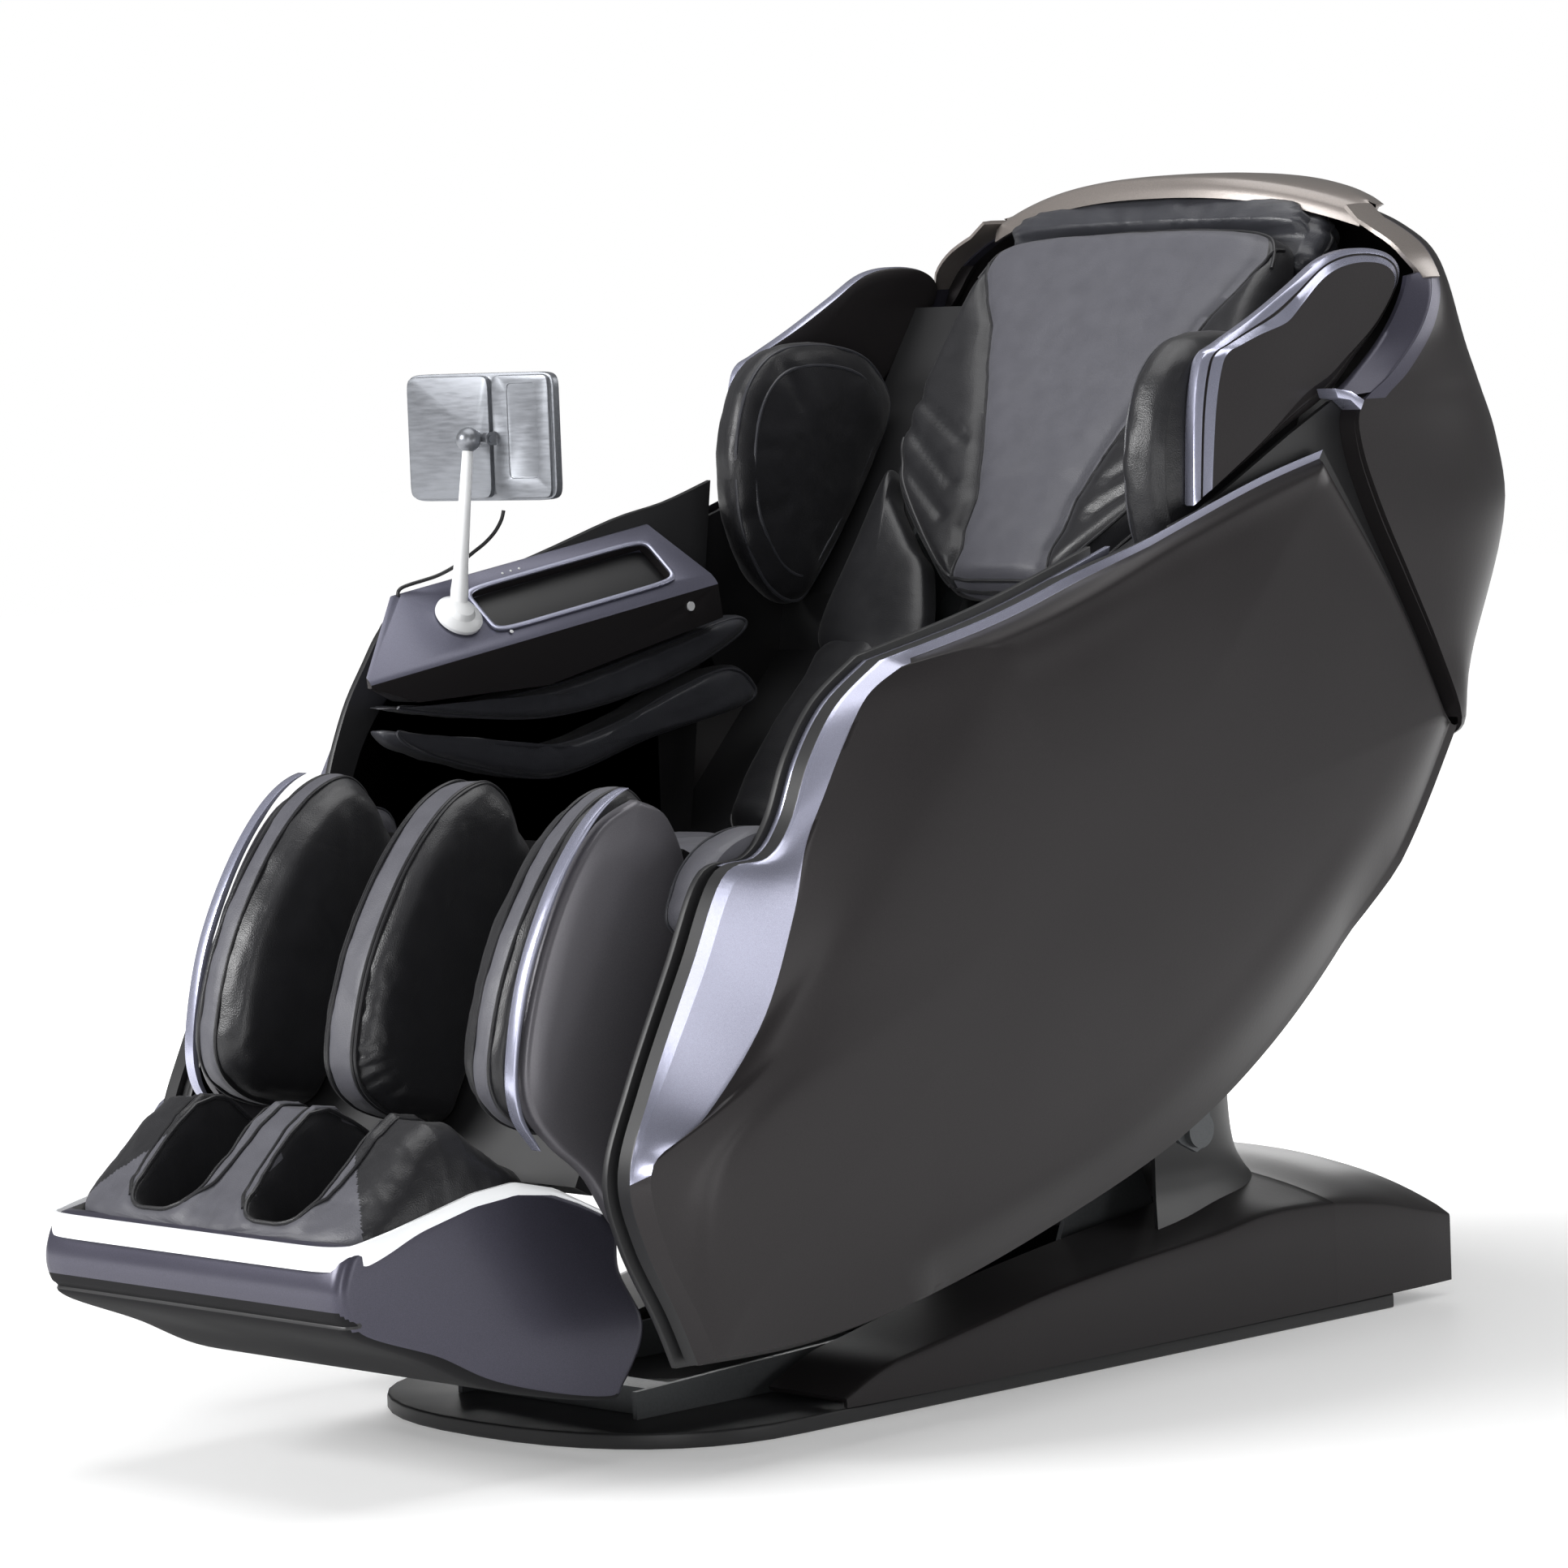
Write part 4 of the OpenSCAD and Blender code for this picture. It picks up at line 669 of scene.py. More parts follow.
@dataclass(frozen=True)
class ShellPaint:
    """Satin metallic paint on a moulded shell: fine flake, a little orange peel, a soft clear coat."""

    name: str
    colour: tuple[float, float, float]
    metallic: float = 0.35
    roughness: float = 0.36
    coat: float = 0.12

    def make(self) -> bpy.types.Material:
        """Builds the material.

        Returns:
            The material, ready to use.
        """
        n = Nodes(self.name)
        flake = n.texture(NOISE, 1400, Detail=2.0)
        cloud = n.texture(NOISE, 5.0, Detail=2.0)
        tone = n.mottled(flake, self.colour, 0.86, 1.16)
        wear = n.ramp(cloud, 0.3, 0.7, self.roughness - 0.035, self.roughness + 0.035)
        peel = n.texture(NOISE, 240, Detail=1.0)
        n.set(Metallic=self.metallic, Coat_Weight=self.coat, Coat_Roughness=0.18, Specular_IOR_Level=0.24)
        n.link(Base_Color=tone, Roughness=wear, Normal=n.bump(peel, 0.00006))
        return n.material


@dataclass(frozen=True)
class Leather:
    """Soft synthetic leather: pebbled grain, slow wrinkles and a dull sheen."""

    name: str
    colour: tuple[float, float, float]
    roughness: float = 0.46
    grain: float = 760
    wrinkle: float = 0.0011

    def make(self) -> bpy.types.Material:
        """Builds the material.

        Returns:
            The material, ready to use.
        """
        n = Nodes(self.name)
        pebble = n.texture("ShaderNodeTexVoronoi", self.grain, Randomness=0.9)
        mottle = n.texture(NOISE, 38, Detail=4.0)
        fold = n.texture(NOISE, 17, (1, 1, 1.7), Detail=2.5, Distortion=0.7)
        tone = n.mottled(mottle, self.colour, 0.94, 1.06)
        rough = n.ramp(mottle, 0.25, 0.75, self.roughness - 0.04, self.roughness + 0.05)
        relief = n.bump(pebble, 0.00016, n.bump(fold, self.wrinkle))
        n.set(Specular_IOR_Level=0.42, Sheen_Weight=0.06, Sheen_Roughness=0.5)
        n.link(Base_Color=tone, Roughness=rough, Normal=relief)
        return n.material


@dataclass(frozen=True)
class MouldedPlastic:
    """Moulded plastic with a fine spark-eroded grain."""

    name: str
    colour: tuple[float, float, float]
    roughness: float = 0.5
    grain: float = 900
    depth: float = 0.00007
    specular: float = 0.5

    def make(self) -> bpy.types.Material:
        """Builds the material.

        Returns:
            The material, ready to use.
        """
        n = Nodes(self.name)
        grain = n.texture(NOISE, self.grain, Detail=2.0)
        cloud = n.texture(NOISE, 9, Detail=2.0)
        tone = n.mottled(cloud, self.colour, 0.9, 1.12)
        n.set(Specular_IOR_Level=self.specular)
        rough = n.ramp(cloud, 0.3, 0.7, self.roughness - 0.04, self.roughness + 0.04)
        n.link(Base_Color=tone, Roughness=rough, Normal=n.bump(grain, self.depth))
        return n.material


@dataclass(frozen=True)
class Metal:
    """Metal, brushed along one axis or plain."""

    name: str
    colour: tuple[float, float, float]
    roughness: float = 0.3
    brushed: tuple[float, float, float] = (1, 1, 1)
    metallic: float = 1.0

    def make(self) -> bpy.types.Material:
        """Builds the material.

        Returns:
            The material, ready to use.
        """
        n = Nodes(self.name)
        lines = n.texture(NOISE, 320, self.brushed, Detail=3.0)
        tone = n.mottled(lines, self.colour, 0.9, 1.08)
        n.set(Metallic=self.metallic)
        rough = n.ramp(lines, 0.3, 0.7, self.roughness - 0.05, self.roughness + 0.06)
        n.link(Base_Color=tone, Roughness=rough, Normal=n.bump(lines, 0.00003))
        return n.material


@dataclass(frozen=True)
class PaintedGlowStrip:
    """White strip with a glow of its own, which is painted light."""

    name: str
    colour: tuple[float, float, float]
    strength: float = 0.22

    def make(self) -> bpy.types.Material:
        """Builds the material.

        Returns:
            The material, ready to use.
        """
        n = Nodes(self.name)
        cloud = n.texture(NOISE, 14, Detail=1.0)
        # The emission is painted light that keeps the strip bright white.
        n.set(Roughness=0.28, Emission_Strength=self.strength, Emission_Color=(1, 1, 1, 1))
        n.link(Base_Color=n.mottled(cloud, self.colour, 0.95, 1.0))
        return n.material


class Finish(Enum):
    """Every finish on the chair, each with the name of the slot that it belongs to."""

    CHARCOAL = ("charcoal_shell", ShellPaint("CharcoalShell", (0.025, 0.0225, 0.0235), 0.34, coat=0.08))
    SILVER_TRIM = ("silver_trim", ShellPaint("SilverTrim", (0.42, 0.43, 0.55), 0.72, 0.26, 0.35))
    LAVENDER = ("lavender_shell", ShellPaint("LavenderShell", (0.066, 0.064, 0.088), 0.42, 0.34, 0.15))
    BLACK = ("black_plastic", MouldedPlastic("BlackPlastic", (0.012, 0.012, 0.013), 0.45))
    # Darkened copy of the silver trim for the broad part of the side panels' bevel band: painted shade.
    SHADED_SILVER = ("silver_trim", ShellPaint("SilverTrimPaintedShade", (0.34, 0.345, 0.44), 0.7, 0.34, 0.3))
    # Lightened copy of the lavender shell paint for the armrests: painted light.
    ARM = ("lavender_shell", ShellPaint("LavenderShellPaintedLight", (0.13, 0.13, 0.175), 0.42, 0.33, 0.2))
    # Near-black matte plastic for the foot housing's downward faces: painted shade.
    SHADED_UNDERSIDE = ("black_plastic", MouldedPlastic("MatteUndersidePaintedShade", (0.014, 0.014, 0.015), 0.75, specular=0.1))
    # Lightened copy of the charcoal shell paint for the calf covers: painted light.
    SMOKE = ("charcoal_shell", ShellPaint("CharcoalShellPaintedLight", (0.125, 0.121, 0.134), 0.35, 0.36))
    PEARL = ("pearl_shell", ShellPaint("PearlShell", (0.24, 0.215, 0.20), 0.4, 0.33, 0.3))
    GREY_LEATHER = ("grey_leather", Leather("GreyLeather", (0.077, 0.077, 0.091)))
    BLACK_LEATHER = ("black_leather", Leather("BlackLeather", (0.013, 0.013, 0.015), 0.35))
    DARK_LEATHER = ("dark_leather", Leather("DarkLeather", (0.036, 0.037, 0.044), 0.33))
    FRAME_STEEL = ("steel_frame", Metal("FrameSteel", (0.10, 0.105, 0.11), 0.45, metallic=0.6))
    BRIGHT_STEEL = ("bright_steel", Metal("BrightSteel", (0.62, 0.63, 0.65), 0.24))
    ARM_ALLOY = ("arm_alloy", Metal("ArmAlloy", (0.55, 0.56, 0.58), 0.38))
    SILVER_PLASTIC = ("silver_plastic", Metal("BrushedSilver", (0.21, 0.22, 0.24), 0.34, (0.05, 1, 1), 0.6))
    LIGHT = ("light_strip", PaintedGlowStrip("LightStrip", (0.86, 0.88, 0.90)))
    ROLLER = ("roller_rubber", MouldedPlastic("RollerRubber", (0.03, 0.03, 0.032), 0.6))
    TYRE = ("wheel_rubber", MouldedPlastic("TyreRubber", (0.02, 0.02, 0.021), 0.65))
    CABLE = ("cable_rubber", MouldedPlastic("CableJacket", (0.012, 0.012, 0.013), 0.42))
    WHITE = ("silver_plastic", MouldedPlastic("WhitePlastic", (0.78, 0.79, 0.80), 0.3))

    @property
    def slot(self) -> str:
        """The slot's name."""
        return self.value[0]

    @property
    def material(self) -> bpy.types.Material:
        """The finish's material, made on first use."""
        recipe = self.value[1]
        return bpy.data.materials.get(recipe.name) or recipe.make()


def settle(obj: Thing, body: str, finishes: Sequence[Finish], replaces: Sequence[str] = (),
           padding: Optional[float] = None) -> Thing:
    """Gives a piece its finishes and its body.

    Args:
        obj: the piece.
        body: name of the body that it rides on.
        finishes: its finishes, in the order of its face zones.
        replaces: the nodes that it stands for.
        padding: not used.

    Returns:
        The piece.
    """
    for finish in finishes[len(obj.data.materials):]:
        obj.data.materials.append(finish.material)
    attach(obj, body)
    finishes[0].slot
    if replaces:
        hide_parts(*replaces)
    log.info("%s rides on %s with %d faces", obj.name, body, len(obj.data.polygons))
    return obj


def piece(mesh: Mesh, name: str, body: str, *finishes: Finish, replaces: Sequence[str] = (),
          padding: Optional[float] = None, sharp: float = CRISP_EDGE) -> Thing:
    """Makes a settled piece of a mesh: to_object and settle in one."""
    return settle(to_object(mesh, name, sharp), body, finishes, replaces, padding)


def moulded(mesh: Mesh, node: str, body: str, *finishes: Finish, sharp: float = CRISP_EDGE) -> Thing:
    """Makes the moulded piece that stands for a node."""
    return piece(mesh, f"{node}_moulding", body, *finishes, replaces=[node], sharp=sharp)


def upholstered(mesh: Mesh, node: str, body: str, *finishes: Finish, padding: float = 0.8,
                stands_for: Optional[str] = None) -> Thing:
    """Makes the padded piece that stands for a node, or for another one where that is given."""
    return piece(mesh, f"{node}_upholstery", body, *finishes, replaces=[stands_for or node], padding=padding,
                 sharp=SOFT_EDGE)


# ---------------------------------------------------------------- side panels and arms


@dataclass
class SidePanels:
    """The two moulded side panels, their bright rims and black inner walls."""

    half_width: float = 395
    bevel_x: float = 374
    edge_x: float = 352
    lip_x: float = 335
    thin_edge_x: float = 370
    crease_x: float = 387
    liner_x: float = 334.7
    wall_thick: float = 15
    face_rows: int = 33
    rim_row: int = 35
    band_foot: float = 299
    band_shares: tuple = (0.06, 0.5, 0.84, 0.97, 1.0)
    lip_shares: tuple = (0.1, 0.9, 1.0)
    middle: tuple = (70, 540)
    bottom: tuple = ((-478, 110), (-330, 110), (-160, 134), (20, 180), (200, 240), (332, 310),
                     (450, 400), (560, 513), (644, 634))
    seam: tuple = ((644, 634), (624, 648), (556, 768), (440, 935))
    top: tuple = ((440, 935), (330, 908), (150, 852), (-30, 797), (-202, 760))
    front: tuple = ((-202, 760), (-262, 722), (-302, 672), (-330, 614), (-362, 583), (-420, 571),
                    (-466, 489), (-524, 380), (-556, 300), (-540, 232), (-500, 158), (-478, 110))
    bevel_bottom: tuple = ((-474, 118), (-330, 119), (-160, 143), (20, 189), (196, 249), (326, 319),
                           (442, 408), (551, 520), (632, 636))
    bevel_seam: tuple = ((632, 636), (616, 654), (550, 766), (434, 926))
    bevel_top: tuple = ((434, 926), (326, 899), (148, 843), (-28, 789), (-194, 754))
    bevel_front: tuple = ((-194, 754), (-242, 729), (-278, 682), (-304, 640), (-332, 592), (-352, 526),
                          (-398, 430), (-478, 348), (-547, 309), (-534, 234), (-496, 164), (-474, 118))
    crease_bottom: tuple = ((-440, 172), (-330, 176), (-190, 190), (-9, 234), (130, 282), (262, 352),
                            (400, 452), (520, 565), (590, 644))
    crease_seam: tuple = ((590, 644), (572, 690), (512, 790), (418, 908))
    crease_top: tuple = ((418, 908), (310, 876), (160, 832), (20, 790), (-87, 764))
    crease_front: tuple = ((-87, 764), (-118, 735), (-147, 700), (-186, 658), (-225, 610), (-268, 552),
                           (-308, 492), (-350, 425), (-400, 372), (-462, 312), (-478, 244), (-440, 172))
    runs: tuple = (56, 20, 32, 76)
    tall_wall: tuple = ((218, 917), (150, 897), (77, 883), (-30, 853), (-135, 826), (-235, 802), (-262, 782),
                        (-285, 750), (-310, 712), (-330, 668), (-342, 634))

    def loop(self, *lines: tuple) -> Row:
        """Closed line from its four runs."""
        return np.vstack([spline(line, n) for line, n in zip(lines, self.runs)])

    def edge_at(self, p: Row, x: float) -> Row:
        """Sideways place of the edge, which stays thin where the backrest swings inside."""
        return mix(x, self.thin_edge_x, self.thinning(p))

    def thinning(self, p: Row) -> Row:
        """How thin the edge has become at each point."""
        return np.clip((p[:, 0] * 0.7 + p[:, 1] * 0.72 - 640) / 90, 0, 1)

    def panel(self, side: Side) -> None:
        """Builds one panel: broad face, soft crease, front facet, bright bevel, black lip.

        Args:
            side: the side that it is on.
        """
        mid = self.middle
        edge = self.loop(self.bottom, self.seam, self.top, self.front)
        bevel = self.loop(self.bevel_bottom, self.bevel_seam, self.bevel_top, self.bevel_front)
        crease = self.loop(self.crease_bottom, self.crease_seam, self.crease_top, self.crease_front)
        wide = np.where(bevel[:, 0] < -180, self.bevel_x, self.edge_x + 5)
        bevel_row = at_x(bevel, np.maximum(self.edge_at(bevel, self.edge_x + 5), wide))
        edge_row = at_x(edge, self.edge_at(edge, self.edge_x))
        lip_row = at_x(edge, self.edge_at(edge, self.lip_x) - 2 * self.thinning(edge))
        controls = [at_x(shrink(crease, mid, share), self.half_width - drop)
                    for share, drop in ((0.05, 0), (0.45, 0), (0.8, 2.5))]
        controls += [at_x(crease, self.crease_x), bevel_row]
        flat = np.array(controls).reshape(len(controls), -1)
        rows = list(spline(flat, self.face_rows, whole=True).reshape(self.face_rows, -1, 3))
        rows += [mix(bevel_row, edge_row, t) for t in self.band_shares]
        first_lip = len(rows) - 1
        rows += [mix(edge_row, lip_row, t) for t in self.lip_shares]
        inner = shrink(edge, mid, 0.985)
        rows.append(at_x(inner, self.edge_at(inner, self.lip_x) - 2 * self.thinning(inner)))
        first_inside = len(rows) - 1
        back = shrink(bevel, mid, 0.98)
        rows.append(at_x(back, self.edge_at(back, self.edge_x + 5) - 1))
        rows += [at_x(shrink(crease, mid, share), x) for share, x in (
            (0.97, self.crease_x - 5), (0.5, self.half_width - 7.5), (0.05, self.half_width - 7))]
        seam_from, top_from = np.cumsum(self.runs)[:2]

        def zone(row: int, column: int) -> int:
            """Charcoal face; silver rim, with a darkened copy of the silver on the band's broad part as
            painted shade; black lip and seam.

            Args:
                row: the face's row.
                column: the face's column.

            Returns:
                The number of its finish.
            """
            if row < self.face_rows - 1 or row >= first_inside:
                return 0
            if row >= first_lip or seam_from <= column < top_from:
                return 2
            if column >= top_from and edge[column % len(edge), 1] > self.band_foot:
                # Rows below the rim row take the darkened silver copy: painted shade.
                return 1 if row >= self.rim_row else 3
            return 0

        moulded(flipped(surface(rows, zone=zone), side), f"side_panel_{side.label}", "seat", Finish.CHARCOAL,
                Finish.SILVER_TRIM, Finish.BLACK, Finish.SHADED_SILVER, sharp=50)

    def rims(self) -> None:
        """Builds the thin bright rims inside the panels' edges."""
        line = np.vstack([spline(self.top[2:], 16), spline(self.front, 70, whole=True)])
        line = line[:16 + int(np.argmax(line[16:, 1] < 575))]
        outer, inner = inset(line, self.middle, 1), inset(line, self.middle, 9)
        parts = both(lambda: bar(outer, inner, self.liner_x - 7, self.liner_x))
        piece(merged(parts), "panel_rim_bars", "seat", Finish.SILVER_TRIM, replaces=["panel_rims"])

    def liner(self, side: Side) -> None:
        """Builds the black inner wall of one side.

        Args:
            side: the side that it is on.
        """
        edge = self.loop(self.bottom, self.seam, self.top, self.front)
        line = edge[edge[:, 0] < 150]
        thick = plate(inset(line, self.middle, 9.3), self.liner_x - self.wall_thick, self.liner_x)
        if side is Side.LEFT:
            rising = inset(line, self.middle, -7)
        else:
            low = line[(line[:, 1] < 400) & (line[:, 0] > -470)]
            front = inset(line, self.middle, 9)
            front = front[(front[:, 1] > 130) & (front[:, 1] < 612) & (front[:, 0] < -300)]
            rising = np.vstack([low, spline(self.tall_wall, 40, whole=True), front])
        thin = plate(rising, self.liner_x - self.wall_thick, self.liner_x - 7.3)
        piece(flipped(merged([thick, thin]), side), f"inner_wall_{side.label}", "seat", Finish.BLACK,
              replaces=[f"inner_liner_{side.label}"])

    def build(self) -> None:
        """Builds both sides."""
        for side in Side:
            self.panel(side)
            self.liner(side)
        self.rims()


LOW_STEPS = ((0.93, 0), (0.985, 0.14), (1, 0.36), (0.985, 0.62), (0.93, 0.84), (0.78, 0.97), (0.5, 1))
HIGH_STEPS = ((0.86, 0), (0.95, 0.2), (0.99, 0.45), (1, 0.68), (0.95, 0.88), (0.8, 0.98), (0.5, 1))


@dataclass
class PadForm:
    """Crowned pad over a flat outline: drawn in at its back, fullest part-way out, domed in front."""

    outline: Row
    thick: float
    crown: float
    centre: tuple
    steps: tuple = LOW_STEPS
    rim_rows: int = 30
    face_rows: int = 14

    def profile(self) -> Row:
        """Steps of the pad, from its back to its middle.

        Returns:
            A share of the outline and a height in each row.
        """
        rim = spline(self.steps, self.rim_rows, whole=True)
        rim[:, 0] = np.minimum(rim[:, 0], 1.0)
        face = np.column_stack([np.linspace(0.46, 0.02, self.face_rows), np.ones(self.face_rows)])
        share, height = np.vstack([rim, face]).T
        dome = np.where(height > 0.6, self.crown * np.clip(1 - share**2, 0, 1), 0)
        return np.column_stack([share, height * self.thick + dome])

    def rows(self) -> list[Row]:
        """Rows of points (u, v, height) in the pad's own plane."""
        return [at_height(shrink(self.outline, self.centre, s), h) for s, h in self.profile()]

    def side_rows(self, x: float) -> list[Row]:
        """The rows laid on a wall at x, facing inwards, with the outline in the Y-Z plane."""
        return [on_wall(row, x) for row in self.rows()]

    def ring(self, share: float, height: float) -> Row:
        """A closed ring of the pad's own plane, its first point repeated."""
        return returned(at_height(shrink(self.outline, self.centre, share), height))

    def side_ring(self, x: float, share: float, height: float) -> Row:
        """A closed ring laid on a wall at x, as the pad's rows are."""
        return on_wall(self.ring(share, height), x)


@dataclass
class Armrests:
    """The armrests, their trays, and the pads round the forearm slots."""

    wall_x: float = 319.4
    inner_x: float = 250
    foot: tuple = (-338, 738)
    slope: float = 8.6
    lean: float = 45
    pad_line: tuple = ((-290, 706), (-200, 701), (-48, 716), (106, 748), (212, 770), (226, 756),
                       (150, 722), (63, 699), (-20, 685), (-101, 681), (-200, 690), (-268, 700))
    cuff_line: tuple = ((-292, 682), (-240, 668), (-150, 656), (-60, 650), (30, 668), (120, 698),
                        (200, 716), (238, 700), (230, 676), (84, 650), (-35, 620), (-104, 618),
                        (-194, 638), (-270, 662))
    front_line: tuple = ((-430, 520), (-424, 552), (-404, 580), (-372, 600), (-330, 608), (-296, 600),
                         (-284, 570), (-292, 530), (-330, 500), (-390, 496))
    tray_middle: tuple = (45, 320)
    mat_half: tuple = (27.5, 129.5)
    mat_layers: tuple = ((-13.4, 0), (-12.2, 0), (-11.8, 1))
    # Small white plastic dots on the tray: sideways place, lengthwise place and radius of each.
    lights: tuple = ((10, 205, 2.2), (84, 250, 1.4), (84, 262, 1.4), (84, 274, 1.4))

    def top_point(self, x: float, y: float, z: float) -> Row:
        """World place of a point on the right armrest's sloping top, from its inner front corner.

        Args:
            x: distance outwards.
            y: distance rearwards.
            z: height over the top.

        Returns:
            The place in space.
        """
        lean, slope = math.radians(self.lean), math.radians(self.slope)
        u = x * math.cos(lean) - z * math.sin(lean)
        w = x * math.sin(lean) + z * math.cos(lean)
        return np.array([-self.inner_x - u, self.foot[0] + y * math.cos(slope) - w * math.sin(slope),
                         self.foot[1] + y * math.sin(slope) + w * math.cos(slope)])

    def framed(self, low: tuple, high: tuple, wide: float, z0: float, z1: float) -> Mesh:
        """Rounded rectangular frame on the right armrest's top, between two corners.

        Args:
            low: its inner front corner.
            high: its outer rear corner.
            wide: width of its bars.
            z0: height of its foot.
            z1: height of its top.

        Returns:
            The closed frame.
        """
        cx, cy = (low[0] + high[0]) / 2, (low[1] + high[1]) / 2
        a, b = (high[0] - low[0]) / 2, (high[1] - low[1]) / 2
        outer, inner = squircle(a + wide, b + wide, 9, 72), squircle(a, b, 9, 72)
        steps = ((outer, z0), (outer, z1 - 0.5), (mix(outer, inner, 0.15), z1),
                 (mix(outer, inner, 0.85), z1), (inner, z1 - 0.5), (inner, z0))
        rows = [[self.top_point(cx + p[0], cy + p[1], z) for p in ring] for ring, z in steps]
        return surface([*rows, rows[0]], closed=False)

    def tray(self) -> None:
        """Builds the bright frame and dark mat of the right armrest's tray, with its small white dots."""
        piece(self.framed((17, 191), (73, 449), 5, -1.0, 1.6), "arm_tray_frame", "seat", Finish.SILVER_TRIM)
        (cx, cy), (a, b) = self.tray_middle, self.mat_half
        mat = [[self.top_point(cx + p[0], cy + p[1], z) for p in squircle(a - cut, b - cut, 12, 60)]
               for z, cut in self.mat_layers]
        piece(surface(mat), "arm_tray_mat", "seat", Finish.BLACK)
        dots = []
        for x, y, r in self.lights:
            ring = squircle(r, r, 2, 16)
            dots.append(surface([[self.top_point(x + p[0] * s, y + p[1] * s, z) for p in ring]
                                 for s, z in ((1, -0.5), (1, 0.3), (0.6, 0.7))]))
        piece(merged(dots), "arm_white_dots", "seat", Finish.WHITE)

    def on_left(self, p: Row) -> Row:
        """Place on the left side of points of the right side's arm pads."""
        return np.column_stack([p[:, 0] * 0.72 + 38, p[:, 1] - 33.5 + (p[:, 0] + 290) * 0.02])

    def pad(self, side: Side, what: str, line: tuple, thick: float, centre: tuple, seed: float) -> None:
        """Builds one pad of a forearm slot, with its piping and its gathers.

        Args:
            side: the side that it is on.
            what: its node's name without the side.
            line: its outline on the right side.
            thick: how far it stands off the wall.
            centre: middle of its outline.
            seed: where in the noise it lies.
        """
        pts, mid = np.asarray(line, float), np.array([centre], float)
        if side is Side.LEFT:
            pts, mid = self.on_left(pts), self.on_left(mid)
        form = PadForm(spline(pts, 96, closed=True), thick, 3, tuple(mid[0]))
        wall, node = self.wall_x - 0.3, f"{what}_{side.label}"
        mesh = surface(form.side_rows(wall))
        rumpled(mesh, 1.6, 34, seed)
        piping = tube(form.side_ring(wall, 0.955, thick * 0.80), 2.1, PIPE_SIDES)
        piece(flipped(piping, side), f"{node}_piping", "seat", Finish.DARK_LEATHER)
        upholstered(flipped(mesh, side), node, "seat", Finish.DARK_LEATHER)

    def front_pads(self) -> None:
        """Builds the small light pads at the front ends of the arms."""
        for side in Side:
            form = PadForm(spline(self.front_line, 80, closed=True), 50, 4, (-352, 552))
            mesh = surface(form.side_rows(self.wall_x))
            rumpled(mesh, 1.2, 30, 3.0)
            node = f"arm_front_{side.label}"
            piping = tube(form.side_ring(self.wall_x, 0.965, 40), 1.6, PIPE_SIDES)
            piece(flipped(piping, side), f"{node}_piping", "seat", Finish.DARK_LEATHER)
            upholstered(flipped(mesh, side), node, "seat", Finish.GREY_LEATHER, padding=0.85,
                        stands_for="arm_front_pads")

    def build(self) -> None:
        """Builds both armrests and their pads."""
        for side in Side:
            arm = copied(f"armrest_{side.label}", 1.6, 3)
            arm.normal_update()
            # Faces that point down or towards the seat take charcoal; the rest take the lightened lavender
            # copy, which is painted light.
            for face in arm.faces:
                inward = -face.normal.x * side.value
                face.material_index = int(inward > 0.86 or face.normal.z < -0.1)
            moulded(arm, f"armrest_{side.label}", "seat", Finish.ARM, Finish.CHARCOAL)
            self.pad(side, "arm_pad", self.pad_line, 56, (-40, 706), 1.0)
            self.pad(side, "arm_cuff", self.cuff_line, 52, (-30, 645), 2.0)
        self.tray()
        self.front_pads()


# ---------------------------------------------------------------- upholstery laid on planes


